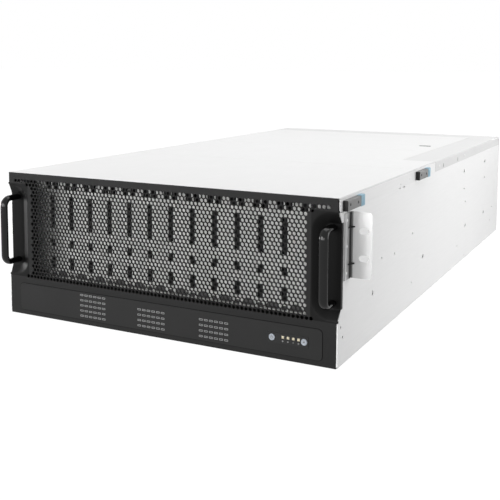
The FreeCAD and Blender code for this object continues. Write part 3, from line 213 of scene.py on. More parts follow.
def surface(name, dark, light, rough, grain, stretch=(1, 1, 1), bump=0.0, rough_spread=0.06, edge_wear_and_highlight=None,
            **sockets):
    """A finish with a fine grain, its size in millimetres, which tints, roughens and dents it a little.
    Handling leaves broad marks in its gloss. The edge colour, where one is given, is painted in patches along
    the edges, partly as wear and partly as painted highlight."""
    material = bpy.data.materials.new(name)
    material.use_nodes = True
    tree = material.node_tree
    shader = tree.nodes["Principled BSDF"]
    place = node(tree, "ShaderNodeTexCoord")
    scale = [s / (grain * MM) for s in stretch]
    mapped = node(tree, "ShaderNodeMapping", {"Vector": place.outputs["Object"], "Scale": scale})
    fine = node(tree, "ShaderNodeTexNoise", {"Vector": mapped.outputs[0], "Scale": 1.0, "Detail": 3.0})
    marks = node(tree, "ShaderNodeTexNoise", {"Vector": place.outputs["Object"],
                                              "Scale": 1 / (HANDLING_MARKS * MM), "Detail": 4.0})
    tint = node(tree, "ShaderNodeMix", {"Factor": fine.outputs["Fac"], 6: linear(dark), 7: linear(light)},
                data_type="RGBA")
    colour = tint.outputs[2]
    # Lighter edges, in patches: partly wear, partly painted highlight.
    if edge_wear_and_highlight:
        near = node(tree, "ShaderNodeBevel", {"Radius": WORN_AND_HIGHLIT_EDGE * MM}, samples=4)
        true = node(tree, "ShaderNodeNewGeometry")
        agree = node(tree, "ShaderNodeVectorMath", {0: near.outputs[0], 1: true.outputs["Normal"]},
                     operation="DOT_PRODUCT")
        edge = node(tree, "ShaderNodeMapRange",
                    {"Value": agree.outputs["Value"], "From Min": EDGE_AGREEMENT[0],
                     "From Max": EDGE_AGREEMENT[1]})
        patchy = node(tree, "ShaderNodeMath", {0: edge.outputs[0], 1: marks.outputs["Fac"]},
                      operation="MULTIPLY")
        worn_and_highlit = node(tree, "ShaderNodeMix", {"Factor": patchy.outputs[0], 6: colour, 7: linear(edge_wear_and_highlight)},
                    data_type="RGBA")
        colour = worn_and_highlit.outputs[2]
    tree.links.new(colour, shader.inputs["Base Color"])
    both = node(tree, "ShaderNodeMath", {0: fine.outputs["Fac"], 1: marks.outputs["Fac"]}, operation="ADD")
    gloss = node(tree, "ShaderNodeMapRange",
                 {"Value": both.outputs[0], "From Min": NOISE_SPAN[0], "From Max": NOISE_SPAN[1],
                  "To Min": rough - rough_spread, "To Max": rough + rough_spread})
    tree.links.new(gloss.outputs[0], shader.inputs["Roughness"])
    if bump:
        dents = node(tree, "ShaderNodeBump", {"Height": fine.outputs["Fac"], "Distance": bump * MM,
                                              "Strength": DENT_STRENGTH})
        tree.links.new(dents.outputs[0], shader.inputs["Normal"])
    for key, value in sockets.items():
        shader.inputs[key.replace("_", " ")].default_value = value
    return material


def deepened(material, low, high, tone):
    """Paints shade into a finish: darkens it with the depth, in millimetres behind the front plane, to a
    share of its tone.
    """
    tree = material.node_tree
    shader = tree.nodes["Principled BSDF"]
    colour = shader.inputs["Base Color"].links[0].from_socket
    place = node(tree, "ShaderNodeTexCoord")
    parts = node(tree, "ShaderNodeSeparateXYZ", {0: place.outputs["Object"]})
    share = node(tree, "ShaderNodeMapRange",
                 {"Value": parts.outputs["Y"], "From Min": FRONT_Y + low * MM,
                  "From Max": FRONT_Y + high * MM, "To Min": 1.0, "To Max": tone})
    darker = node(tree, "ShaderNodeVectorMath", {0: colour, "Scale": share.outputs[0]}, operation="SCALE")
    tree.links.new(darker.outputs[0], shader.inputs["Base Color"])
    return material


# Grain of rolled sheet, drawn out along the chassis, and of plate and brushed sheet, drawn out upwards
ROLLED = (1, 0.06, 1)
UPRIGHT = (1, 1, 0.1)

# Electro-zinc sheet, rolled: pale, even, faint lines along the rolling direction.
ZINC = surface("electro_zinc_sheet", "#dbdbdb", "#e3e3e3", 0.55, 2.5, ROLLED, 0.01, Metallic=0.2)
# The same sheet, phosphated before it was folded: a little darker and drier.
ZINC_DULL = surface("phosphated_zinc_sheet", "#cfcfcf", "#d8d8d8", 0.58, 2.5, ROLLED, 0.01, Metallic=0.2)
# Zinc sheet with painted shade: greyer than the flats, for the round bends of the lids and the right-hand
# flange of the fixed strip.
SHADED_ZINC = surface("zinc_sheet_with_painted_shade", "#c4c4c4", "#cecece", 0.58, 2.5, ROLLED, 0.01, Metallic=0.2)
# Zinc-nickel plate on the thick brackets: greyer, with a soft sheen, and edges painted lighter as wear and
# painted highlight.
ZINC_GREY = surface("zinc_nickel_plate", "#cacaca", "#d5d5d5", 0.45, 2.0, UPRIGHT, 0.01, edge_wear_and_highlight="#dedede",
                    Metallic=0.6)
# The leg of a bracket, with painted shade: it darkens from its front towards its bend.
SHADED_LEG_PLATE = deepened(surface("zinc_nickel_plate_with_painted_shade", "#bababa", "#c4c4c4", 0.45, 2.0, UPRIGHT, 0.01,
                             Metallic=0.4), 16, 25, 0.4)
# Matt zinc on the sheets of the cage: it scatters the light that comes through the honeycomb.
WALL_ZINC = surface("matt_zinc_sheet", "#e4e4e2", "#ececea", 0.7, 2.0, UPRIGHT, 0.01, Metallic=0.0)
# Black closed-cell foam, dry, with open pores at its skin, under the overlay; the same black paints shade in
# the strips round the cage wall.
BLACK_FOAM_AND_SHADE = surface("black_foam_and_painted_shade", "#080808", "#101010", 0.9, 0.8, bump=0.08, Specular_IOR_Level=0.1)
# Grey sheet behind the arches of the cage wall: painted shade, flat.
ARCH_SHADE_SHEET = surface("grey_sheet_of_painted_shade", "#5a5a5a", "#646464", 0.6, 1.0, Specular_IOR_Level=0.2)
# Charcoal powder coat on pressed steel: fine orange peel.
POWDER = surface("charcoal_powder_coat", "#1e1e1e", "#232323", 0.5, 0.9, bump=0.03, Specular_IOR_Level=0.12)
# The same coat in the drawn pockets, with painted shade: darker than the front, and darker still with the
# depth.
SHADED_POCKET_COAT = deepened(surface("powder_coat_with_painted_pocket_shade", "#141414", "#181818", 0.45, 0.9, bump=0.03,
                               Specular_IOR_Level=0.08), 1, 6, 0.3)
# Black stoved enamel on a bent bar: deep, wet gloss.
ENAMEL = surface("black_stoved_enamel", "#070707", "#0c0c0c", 0.1, 3.0, rough_spread=0.01,
                 Specular_IOR_Level=0.28)
# Polyester film with a velvet front.
FILM = surface("velvet_polyester_film", "#242424", "#2a2a2a", 0.62, 0.6, bump=0.01, Specular_IOR_Level=0.14)
# White screen ink on that film.
INK = surface("white_screen_ink", "#808080", "#979797", 0.6, 0.8)
# Smoked polycarbonate, moulded and polished.
SMOKED = surface("smoked_polycarbonate", "#1e1e1e", "#242424", 0.3, 2.0, rough_spread=0.03,
                 Specular_IOR_Level=0.25)
# Satin silver lacquer on a moulded push button.
SILVER = surface("silver_lacquer", "#9299a2", "#a4aab2", 0.4, 0.5, Metallic=0.2)
# Milky acrylic rod, lit from behind by a warm white lamp.
LIT_ACRYLIC = surface("milky_acrylic", "#beb59c", "#cac1a8", 0.35, 1.0, Emission_Color=linear("#fff0cc"),
                      Emission_Strength=0.06)
# Grey-coated spring steel, with edges painted lighter as wear and painted highlight.
LATCH_GREY = surface("grey_coated_steel", "#626262", "#6e6e6e", 0.45, 1.2, (1, 0.2, 1), 0.01,
                     edge_wear_and_highlight="#a8a8a8", Metallic=0.3)
# Black glass-filled nylon, fine spark grain; the same black paints shade in the bends and gussets of the
# ears, the slots of the fixed strip, the finger cup and the caps of the drives.
BLACK_NYLON_AND_SHADE = surface("black_nylon_and_painted_shade", "#101010", "#191919", 0.5, 0.5, bump=0.02, Specular_IOR_Level=0.3)
# Light blue ABS, moulded with a soft sheen, with edges painted lighter as wear and painted highlight.
BLUE = surface("light_blue_abs", "#7ca6ba", "#8fb6c8", 0.42, 1.0, bump=0.01, edge_wear_and_highlight="#b9d8e4")
# Die-cast aluminium made dark as painted shade for the inside of the cage, with the cast grain still showing.
CAST = surface("dark_cast_aluminium_with_painted_shade", "#0e0e10", "#18181a", 0.5, 0.7, bump=0.02,
               Specular_IOR_Level=0.2)
# Stainless cover plate with a fine brushed line.
STAINLESS = surface("brushed_stainless", "#b9b9ba", "#cbcbcc", 0.32, 1.5, (1, 1, 0.04), 0.006, Metallic=1.0)
# Plain white paper label.
PAPER = surface("white_paper_label", "#e6e6e2", "#efefec", 0.7, 0.4)
# Nickel-plated screw.
NICKEL = surface("nickel_plate", "#a9a7a2", "#bcbab5", 0.28, 0.8, Metallic=1.0)
# Turned brass.
BRASS = surface("turned_brass", "#b08d4a", "#c7a45c", 0.35, 0.6, Metallic=1.0)
# Green solder mask over glass-fibre board.
BOARD = surface("green_solder_mask", "#0d3f22", "#14532e", 0.38, 1.4, bump=0.01)
# Green lens of a status lamp, moulded and polished, not lit.
LAMP_GREEN = surface("green_lamp_lens", "#2f9a4a", "#46b562", 0.25, 1.0)


# Meshes
def finish_mesh(bm, material, outward=True):
    """A mesh of one material from a bmesh."""
    if outward:
        bmesh.ops.recalc_face_normals(bm, faces=bm.faces[:])
    mesh = bpy.data.meshes.new("part")
    bm.to_mesh(mesh)
    bm.free()
    mesh.materials.append(material)
    return mesh


def block(x, y, z, material, bevel=0.3):
    """A block with broken edges."""
    bm = bmesh.new()
    bmesh.ops.create_cube(bm, size=1)
    for vert in bm.verts:
        vert.co = at(*(low + (c + 0.5) * (high - low) for c, (low, high) in zip(vert.co, (x, y, z))))
    if bevel:
        bmesh.ops.bevel(bm, geom=bm.edges[:], offset=bevel * MM, segments=2, profile=0.5, affect="EDGES",
                        clamp_overlap=True)
    return finish_mesh(bm, material)


def shell(front, back, material):
    """A closed wall between two grids of points with the same rows."""
    bm = bmesh.new()
    rows = [[[bm.verts.new(at(*p)) for p in row] for row in grid] for grid in (front, back)]
    tall, wide = len(front), len(front[0])
    for grid in rows:
        for j in range(tall - 1):
            for i in range(wide - 1):
                bm.faces.new((grid[j][i], grid[j][i + 1], grid[j + 1][i + 1], grid[j + 1][i]))
    rim = [(0, i) for i in range(wide)] + [(j, wide - 1) for j in range(1, tall)]
    rim += [(tall - 1, i) for i in range(wide - 2, -1, -1)] + [(j, 0) for j in range(tall - 2, 0, -1)]
    for a, b in zip(rim, rim[1:] + rim[:1]):
        bm.faces.new((rows[0][a[0]][a[1]], rows[0][b[0]][b[1]], rows[1][b[0]][b[1]], rows[1][a[0]][a[1]]))
    return finish_mesh(bm, material)


def rounded(points, radius, steps=5, closed=False):
    """A line of flat points with its corners rounded."""
    line = []
    count = len(points)
    for i, p in enumerate(points):
        if not closed and i in (0, count - 1):
            line.append(Vector(p))
            continue
        corner = Vector(p)
        into = (corner - Vector(points[i - 1])).normalized()
        out = (Vector(points[(i + 1) % count]) - corner).normalized()
        turn = into.angle_signed(out)
        reach = radius * math.tan(abs(turn) / 2)
        centre = corner - into * reach + Vector((-into.y, into.x)) * radius * (-1 if turn > 0 else 1)
        start = corner - into * reach - centre
        for k in range(steps + 1):
            a = -turn * k / steps
            line.append(centre + Vector((start.x * math.cos(a) - start.y * math.sin(a),
                                         start.x * math.sin(a) + start.y * math.cos(a))))
    return line


def folded(profile, thickness, radius, span, axis, material):
    """A bent sheet: its outer line with round bends, thickened to the left and drawn along an axis."""
    outer = rounded(profile, radius)
    inner = []
    for i, p in enumerate(outer):
        ahead = (outer[min(i + 1, len(outer) - 1)] - outer[max(i - 1, 0)]).normalized()
        inner.append(p + Vector((-ahead.y, ahead.x)) * thickness)
    order = {"X": lambda a, b, t: (t, a, b), "Y": lambda a, b, t: (a, t, b), "Z": lambda a, b, t: (a, b, t)}
    grids = [[[order[axis](p.x, p.y, t) for p in line] for t in span] for line in (outer, inner)]
    return shell(*grids, material)


def facing(direction, x=0.0, y=0.0, z=0.0):
    """The place of a flat sheet: where its own X, Y and face point, and its origin."""
    axes = {"front": ((1, 0, 0), (0, 0, 1)), "rear": ((-1, 0, 0), (0, 0, 1)), "right": ((0, 1, 0), (0, 0, 1)),
            "left": ((0, -1, 0), (0, 0, 1)), "top": ((1, 0, 0), (0, 1, 0)), "bottom": ((-1, 0, 0), (0, 1, 0))}
    across, up = (Vector(v) for v in axes[direction])
    turn = Matrix((across, up, across.cross(up))).transposed().to_4x4()
    return Matrix.Translation(at(x, y, z)) @ turn


def pierced(loops, material, thickness, place, centres=(), hole=1.0, sides=6, turn=0.0):
    """A sheet cut to the outlines in loops, with equal holes at the centres, set in its place."""
    points, edges = [], []
    for loop in loops:
        first = len(points)
        points += [(p[0] * MM, p[1] * MM, 0) for p in loop]
        edges += [(first + i, first + (i + 1) % len(loop)) for i in range(len(loop))]
    points += [(a * MM, b * MM, 0) for a, b in centres]
    base = bpy.data.meshes.new("outlines")
    base.from_pydata(points, edges, [])
    mesh = run_tree(PIERCED_SHEET, base, {"Hole sides": sides, "Hole width": hole * MM, "Hole turn": turn,
                                          "Thickness": thickness * MM, "Material": material})
    mesh.transform(place)
    return mesh


def copies(shape, places, material, turns=None):
    """Copies of a shape, made at the origin, on points of the scene."""
    base = bpy.data.meshes.new("places")
    base.from_pydata([at(*p) for p in places], [], [])
    turned = base.attributes.new("turn", "FLOAT_VECTOR", "POINT")
    for i, turn in enumerate(turns or [(0, 0, 0)] * len(places)):
        turned.data[i].vector = turn
    holder = bpy.data.objects.new("shape", shape)
    mesh = run_tree(SET_ON_POINTS, base, {"Shape": holder, "Material": material})
    bpy.data.objects.remove(holder)
    return mesh


def spun(profile, material, steps=20):
    """A turned shape about its own Z, from (radius, height) pairs, made at the origin."""
    bm = bmesh.new()
    rings = []
    for radius, height in profile:
        if radius == 0:
            rings.append([bm.verts.new((0, 0, height * MM))])
            continue
        ring = []
        for k in range(steps):
            a = 2 * math.pi * k / steps
            ring.append(bm.verts.new((radius * MM * math.cos(a), radius * MM * math.sin(a), height * MM)))
        rings.append(ring)
    for low, high in zip(rings, rings[1:]):
        for k in range(steps):
            a, b = k, (k + 1) % steps
            corners = [low[a % len(low)], low[b % len(low)], high[b % len(high)], high[a % len(high)]]
            bm.faces.new(list(dict.fromkeys(corners)))
    return finish_mesh(bm, material)


def at_origin(mesh):
    """A mesh made about the zero of this script's millimetres, moved to the origin of the scene."""
    mesh.transform(Matrix.Translation(-at(0, 0, 0)))
    return mesh


# Flat outlines
def box_loop(x, z, radius=0.0, steps=4):
    """A rectangle's outline, with round corners if a radius is given."""
    corners = [(x[0], z[0]), (x[1], z[0]), (x[1], z[1]), (x[0], z[1])]
    return [tuple(p) for p in rounded(corners, radius, steps, True)] if radius else corners


def circle_loop(x, z, diameter, steps=24):
    """A round outline."""
    turns = [2 * math.pi * i / steps for i in range(steps)]
    return [(x + diameter / 2 * math.cos(a), z + diameter / 2 * math.sin(a)) for a in turns]


def slot_loop(x, z, width, height):
    """An oblong outline with round ends."""
    radius = min(width, height) / 2 - 0.01
    return box_loop(around(x, width / 2), around(z, height / 2), radius)


def flipped(side, loops):
    """The outlines for one side of the chassis, from those for its right-hand side."""
    return [[(side * a, b) for a, b in loop] for loop in loops]


def honeycomb(x, z, pitch, keep):
    """Centres of staggered holes in a rectangle, those for which keep holds."""
    step = pitch * 0.866
    rows = int((z[1] - z[0]) / step)
    columns = int((x[1] - x[0]) / pitch)
    centres = []
    for row in range(rows + 1):
        for column in range(columns + 1):
            place = (x[0] + (column + (row % 2) / 2) * pitch, z[0] + row * step)
            if place[0] <= x[1] and keep(*place):
                centres.append(place)
    return centres


# Pieces
SMOOTH_ANGLE = 32    # degrees, past which an edge stays sharp


def piece(name, body, meshes, replaces=()):
    """One finished piece: its meshes joined, at the origin, riding on a body."""
    bm = bmesh.new()
    materials = []
    for mesh in meshes:
        first = len(bm.faces)
        bm.from_mesh(mesh)
        index = []
        for material in mesh.materials:
            if material not in materials:
                materials.append(material)
            index.append(materials.index(material))
        bm.faces.ensure_lookup_table()
        for face in bm.faces[first:]:
            face.material_index = index[face.material_index]
    joined = bpy.data.meshes.new(name)
    bm.to_mesh(joined)
    bm.free()
    for material in materials:
        joined.materials.append(material)
    joined.polygons.foreach_set("use_smooth", [True] * len(joined.polygons))
    joined.set_sharp_from_angle(angle=math.radians(SMOOTH_ANGLE))
    made = bpy.data.objects.new(name, joined)
    bpy.context.scene.collection.objects.link(made)
    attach(made, body)
    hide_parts(*replaces)
    return made


# Sizes that several pieces share, read from the solids
(_, SIDE), (_, DEPTH), (_, LIP_TOP) = extent("chassis_tub")
FLANGE_BOTTOM, HEIGHT = extent("front_cover")[2]
COVER_FRONT, SEAM_FRONT = extent("front_cover")[1]
SEAM_REAR, STRIP_SEAM = extent("middle_cover")[1]
REAR_COVER_Y = extent("rear_cover")[1]
COVER_RIGHT = extent("rear_cover")[0][1]
STRIP_FRONT = extent("top_frame")[1][0]
BEZEL_Z = extent("front_bezel")[2]
FLOOR_OUTER = extent("front_bezel")[0][1]
WINDOW = extent("control_window")
(_, WALL_SIDE), (CAGE_FRONT, CAGE_START), (_, WALL_TOP) = extent("cage_front_wall")
CAGE_LEFT, CAGE_RIGHT = extent("cage_dividers")[0]
COLUMNS = 13
COLUMN_PITCH = (CAGE_RIGHT - CAGE_LEFT) / COLUMNS

# Sizes that a solid's box doesn't give
TUB_SHEET = 1.2
COVER_SHEET = 1.0
BEZEL_SHEET = 1.5
COVER_GAP = 0.3          # between a lid and the fixed frame beside it
COVER_BEND = 1.4         # height and width of the round edge of a lid
BAND_FRONT = REAR_COVER_Y[1] + COVER_GAP
STRIP_LEFT = COVER_RIGHT + COVER_GAP
TOP_SIDE = SIDE - COVER_BEND
BEZEL_SIDE = 215.5
LIP_SIDE = 215.6         # outside of the lips that the lids lie on
LIP_INNER = 214.1        # half width of the cross sheets between the lips
LIP_LOW = 159.8          # height from which they are that narrow
WALL_START = 12.8        # the side walls start behind the folds of the bezel
POCKET_INNER = 186.6
POCKET_RUN = 11.5
POCKET_Z = (47.8, 162.5)
POCKET_END_RUN = 12.7
POCKET_FLOOR_Z = grown(POCKET_Z, -POCKET_END_RUN)
POCKET_CORNER = 9.0
POCKET_DEPTH = 6.0
POCKET_EASE = 0.15       # share of a pocket's slope that is rounded at its rim
POINT_UP = math.pi / 6   # turns a hexagon onto its point
SIDES = ((-1, "left"), (1, "right"))

# Small hardware, made once from (radius, height) pairs
RIVET = spun([(0, 0.55), (0.9, 0.5), (1.5, 0.2), (1.6, 0)], LATCH_GREY, 12)
PIP = spun([(0, 0.5), (1.4, 0.45), (2.2, 0.2), (2.4, 0)], ZINC, 16)
SCREW = spun([(0, 0.4), (1.0, 0.4), (1.2, 1.3), (2.0, 1.2), (2.7, 0.6), (2.8, 0)], NICKEL, 14)
TURNS = {"front": (math.pi / 2, 0, 0), "rear": (-math.pi / 2, 0, 0), "right": (0, math.pi / 2, 0),
         "left": (0, -math.pi / 2, 0), "top": (0, 0, 0)}


def fasteners(shape, direction, places, material):
    """Screw, rivet or lamp heads on a face that looks in one direction."""
    return copies(shape, places, material, [TURNS[direction]] * len(places))


# Front bezel
HOLE_PITCH = 5.0
HOLE_WIDTH = 4.55
HOLE_ROWS = 28
HOLE_ROW_STEP = 4.335
HOLE_TOP = 166.2
HOLE_REACH = (180.0, 177.5)    # half length of the even rows and of the odd ones
LONG_ROWS = {0: 205.0, 1: 187.5, HOLE_ROWS - 1: 187.5}
BEZEL_RETURN = 11.0            # depth of the folds
FOLD_Z = (1.5, 174.4)          # outside of the lower and the upper fold
POCKET_FLANGE = 6.0


def pocket_depth(x, z):
    """Depth of a handle pocket: a flat floor with round corners and a slope that eases into the front."""
    across = max(POCKET_INNER + POCKET_RUN + POCKET_CORNER - x, 0)
    low, high = POCKET_FLOOR_Z
    along = max(low + POCKET_CORNER - z, z - high + POCKET_CORNER, 0)
    rise = min(max(1 - (math.hypot(across, along) - POCKET_CORNER) / POCKET_RUN, 0), 1)
    eased = rise * rise / (2 * POCKET_EASE) if rise < POCKET_EASE else rise - POCKET_EASE / 2
    return POCKET_DEPTH * eased / (1 - POCKET_EASE / 2)


def pocket_skin(side):
    """A pressed handle pocket, open at the side of the chassis, where its floor is folded back."""
    step, steps = 0.75, 28
    across = [POCKET_INNER + step * i for i in range(steps)] + [210.0, BEZEL_SIDE]
    ends = range(24)
    levels = [POCKET_Z[0] + e for e in ends] + [80.0, 105.0, 130.0]
    levels += [POCKET_Z[1] - e for e in reversed(ends)]
    front = []
    for z in levels:
        row = [(x, pocket_depth(x, z), z) for x in across]
        reach = (FLOOR_OUTER - BEZEL_SIDE) * row[-1][1] / POCKET_DEPTH
        row[-1] = (BEZEL_SIDE + reach, row[-1][1], z)
        front.append([(side * x, y, z) for x, y, z in row])
    back = [[(x, y + BEZEL_SHEET, z) for x, y, z in row] for row in front]
    # The pocket skin carries painted shade, darker with depth.
    return shell(front, back, SHADED_POCKET_COAT)


def bezel_holes():
    """Hole centres of the bezel: staggered rows, of which the first, second and last run on further."""
    centres = []
    for row in range(HOLE_ROWS):
        odd = row % 2
        shift = odd * HOLE_PITCH / 2
        count = int(round((LONG_ROWS.get(row, HOLE_REACH[odd]) - shift) / HOLE_PITCH))
        z = HOLE_TOP - row * HOLE_ROW_STEP
        centres += [(i * HOLE_PITCH + shift, z) for i in range(-count - odd, count + 1)]
    return centres


def front_bezel():
    """Pressed and perforated front sheet with its folded edges."""
    low, high = POCKET_Z
    half = [(BEZEL_SIDE, BEZEL_Z[0]), (BEZEL_SIDE, low), (POCKET_INNER, low), (POCKET_INNER, high),
            (BEZEL_SIDE, high), (BEZEL_SIDE, BEZEL_Z[1])]
    outline = half + [(-x, z) for x, z in reversed(half)]
    window_lap = 1.0
    window = box_loop(grown(WINDOW[0], -window_lap), grown(WINDOW[2], -window_lap))
    parts = [pierced([outline, window], POWDER, BEZEL_SHEET, facing("front"), bezel_holes(), HOLE_WIDTH,
                     turn=POINT_UP)]
    across, fold = (-BEZEL_SIDE, BEZEL_SIDE), (BEZEL_SHEET, BEZEL_SHEET + BEZEL_RETURN)
    parts.append(block(across, fold, (FOLD_Z[1] - BEZEL_SHEET, FOLD_Z[1]), POWDER, 0.2))
    parts.append(block(across, fold, (FOLD_Z[0], FOLD_Z[0] + BEZEL_SHEET), POWDER, 0.2))
    side_fold_z = (FOLD_Z[0], low - 3.0)
    relief_y = (0.2, 0.2 + BEZEL_SHEET)
    edge_y = (POCKET_DEPTH + 0.2, POCKET_DEPTH + POCKET_FLANGE)
    for side, _ in SIDES:
        parts.append(pocket_skin(side))
        fold_x = mirrored(side, BEZEL_SIDE - BEZEL_SHEET, BEZEL_SIDE)
        parts.append(block(fold_x, fold, side_fold_z, POWDER, 0.2))
        relief_x = mirrored(side, BEZEL_SIDE - 1.0, SIDE + 0.1)
        for relief_z in ((low - 0.1, low + 2.4), (high - 1.6, high + 0.9)):
            parts.append(block(relief_x, relief_y, relief_z, POWDER, 0.5))
        edge_x = mirrored(side, FLOOR_OUTER - BEZEL_SHEET, FLOOR_OUTER)
        parts.append(block(edge_x, edge_y, POCKET_FLOOR_Z, POWDER, 0.15))
    piece("front_bezel_sheet", "chassis", parts, ("front_bezel", "bezel_mesh"))


def front_handles():
    """Oval bars bent to a U, which stand on the pocket floors."""
    across, through, bend = 10.0, 7.0, 9.0
    _, (front, _), z = extent("front_handles")
    x = (POCKET_INNER + POCKET_RUN + FLOOR_OUTER) / 2
    reach = front + through / 2
    low, high = grown(z, -through / 2)
    path = [(POCKET_DEPTH, low), (reach, low), (reach, high), (POCKET_DEPTH, high)]
    points = [at(side * x, y, height) for side, _ in SIDES for y, height in path]
    base = bpy.data.meshes.new("handle_paths")
    base.from_pydata(points, [(0, 1), (1, 2), (2, 3), (4, 5), (5, 6), (6, 7)], [])
    bars = run_tree(BAR_ALONG_PATH, base, {"Bend": bend * MM, "Across": across * MM, "Through": through * MM,
                                           "Material": ENAMEL})
    piece("handle_bars", "chassis", [bars], ("front_handles",))


# Lower front
BUTTONS = {name: middle(extent(name)[0]) for name in ("power_button", "locate_button")}
BUTTON_Z = middle(extent("power_button")[2])
LIGHT_Z = middle(extent("light_pipes")[2])
LIGHT_HALF = 1.45
LIGHT_PITCH = 6.0
LIGHTS = [extent("light_pipes")[0][0] + LIGHT_HALF + LIGHT_PITCH * i for i in range(4)]
LIGHT_MARKS = ((24, 0), (4, 0), (3, 0), (12, 0.9))    # sides and bore: a dot, a square, a triangle and a ring
BAY_GROUPS = ((-106.0, 35.8, 5), (-24.3, 29.8, 4), (57.1, 29.8, 4))    # left end, top and rows
BAY_COLUMNS = 6
BAY_PITCH = (6.35, 6.25)


def overlay():
    """Film overlay on its glue, with the printed map of the bays."""
    x, (front, _), z = extent("lower_overlay")
    corner, corner_steps, fit, rim = 5.0, 8, 0.1, 0.5
    film_thickness, glue_thickness, ink_thickness = 0.6, 0.2, 0.05
    gap = box_loop(grown(WINDOW[0], fit), grown(WINDOW[2], fit))
    outline = box_loop(x, z, corner, corner_steps)
    film = pierced([outline, gap], FILM, film_thickness, facing("front", y=front))
    outline = box_loop(grown(x, rim), grown(z, rim), corner + rim, corner_steps)
    glue = pierced([outline, gap], BLACK_FOAM_AND_SHADE, glue_thickness, facing("front", y=-glue_thickness))
    piece("overlay_film", "chassis", [film, glue], ("lower_overlay",))
    ring = [box_loop((-2.3, 2.3), (-1.05, 1.05), 0.4, 2), box_loop((-1.75, 1.75), (-0.5, 0.5))]
    dash = at_origin(pierced(ring, INK, ink_thickness, facing("front")))
    places = []
    for left, top, rows in BAY_GROUPS:
        places += [(left + BAY_PITCH[0] * i, front - ink_thickness, top - BAY_PITCH[1] * j)
                   for i in range(BAY_COLUMNS) for j in range(rows)]
    piece("bay_map_print", "chassis", [copies(dash, places, INK)], ())


def control_window():
    """Smoked pane with a plain mark under each light, and the rods that carry the light to it."""
    x, (front, _), z = WINDOW
    button_bore, light_fit, ink_thickness = 7.5, 0.1, 0.04
    hole_half = LIGHT_HALF + light_fit
    holes = [circle_loop(button, BUTTON_Z, button_bore) for button in BUTTONS.values()]
    holes += [box_loop(around(light, hole_half), around(LIGHT_Z, hole_half)) for light in LIGHTS]
    parts = [pierced([box_loop(x, z, 0.8)] + holes, SMOKED, 0.9, facing("front", y=front))]
    mark_z, mark_size = LIGHT_Z - 4.1, 1.7
    for light, (corners, bore) in zip(LIGHTS, LIGHT_MARKS):
        loops = [circle_loop(light, mark_z, size, corners) for size in (mark_size, bore) if size]
        parts.append(pierced(loops, INK, ink_thickness, facing("front", y=front - ink_thickness)))
    piece("window_pane", "chassis", parts, ("control_window",))
    rod_y, rod_z = extent("light_pipes")[1], around(LIGHT_Z, LIGHT_HALF)
    rods = [block(around(light, LIGHT_HALF), rod_y, rod_z, LIT_ACRYLIC, 0.35) for light in LIGHTS]
    piece("light_rods", "chassis", rods, ("light_pipes",))


def push_buttons():
    """Dished caps: a ring with a stroke on one, a dot on the other."""
    cap = [(0, 1.42), (2.4, 1.45), (2.8, 1.5), (3.25, 1.45), (3.5, 1.2), (3.5, -6.4), (0, -6.4)]
    mark_front, mark_thickness = -1.48, 0.08
    diameters = {"power_button": (3.0, 2.2), "locate_button": (2.0,)}
    for name, x in BUTTONS.items():
        body = spun(cap, SILVER, 32)
        body.transform(facing("front", x, 0, BUTTON_Z))
        loops = [circle_loop(x, BUTTON_Z, diameter) for diameter in diameters[name]]
        parts = [body, pierced(loops, LATCH_GREY, mark_thickness, facing("front", y=mark_front))]
        if name == "power_button":
            stroke_z = (BUTTON_Z + 0.3, BUTTON_Z + 2.0)
            parts.append(block(around(x, 0.2), (-1.5, -1.42), stroke_z, LATCH_GREY, 0))
        piece(name + "_cap", name, parts, (name,))


# Chassis: places on its side walls, as the distance behind the front plane and the height
RAIL_HOLES = [(108, 53), (313, 53), (560, 53), (697, 53), (544, 142), (697, 142)]
SMALL_HOLES = [(261, 30), (509, 30), (758, 30), (558, 6), (138, 87.5), (187, 83), (262, 94), (8, 42),
               (14, 30)]
SMALL_HOLE = 2.8
SHORT_SLOTS = [(546, 115), (699, 115), (557, 93), (770, 52.5), (220, 159.8)]
LATCH_SLOT = (203, 159.9, 5, 1.5)
BASE_RISE = 2.2          # height of the bend along the base
STEP_Z = FLANGE_BOTTOM - 0.08    # the walls step in to their lips here, just under the lids
JOGGLE = 0.6             # height of that step
WALL_GAP = 0.3           # round the floor of a pocket
WALL_BEHIND = 1.9        # from a pocket's front to the wall behind it


def evenly(start, end, steps):
    """Equal steps from start to end."""
    return [start + (end - start) * i / steps for i in range(steps + 1)]


def side_wall():
    """Outlines of the right-hand wall: its edge, which follows the pocket in front, and its holes."""
    step = STEP_Z - JOGGLE
    low, high = grown(POCKET_FLOOR_Z, WALL_GAP)
    below = POCKET_Z[0] - WALL_GAP
    edge = [(0, BASE_RISE), (DEPTH, BASE_RISE), (DEPTH, step)]
    edge += [(pocket_depth(BEZEL_SIDE, z) + WALL_BEHIND, z) for z in evenly(step, high, 6)]
    edge += [(WALL_START, high), (WALL_START, low)]
    edge += [(pocket_depth(BEZEL_SIDE, z) + WALL_BEHIND, z) for z in evenly(low, POCKET_Z[0], 8)]
    edge += [(WALL_BEHIND, below), (0, below)]
    loops = [edge] + [box_loop(around(y, 3), around(z, 1.3), 0.4, 2) for y, z in RAIL_HOLES]
    return loops + [slot_loop(y, z, 6, 1.8) for y, z in SHORT_SLOTS] + [slot_loop(*LATCH_SLOT)]


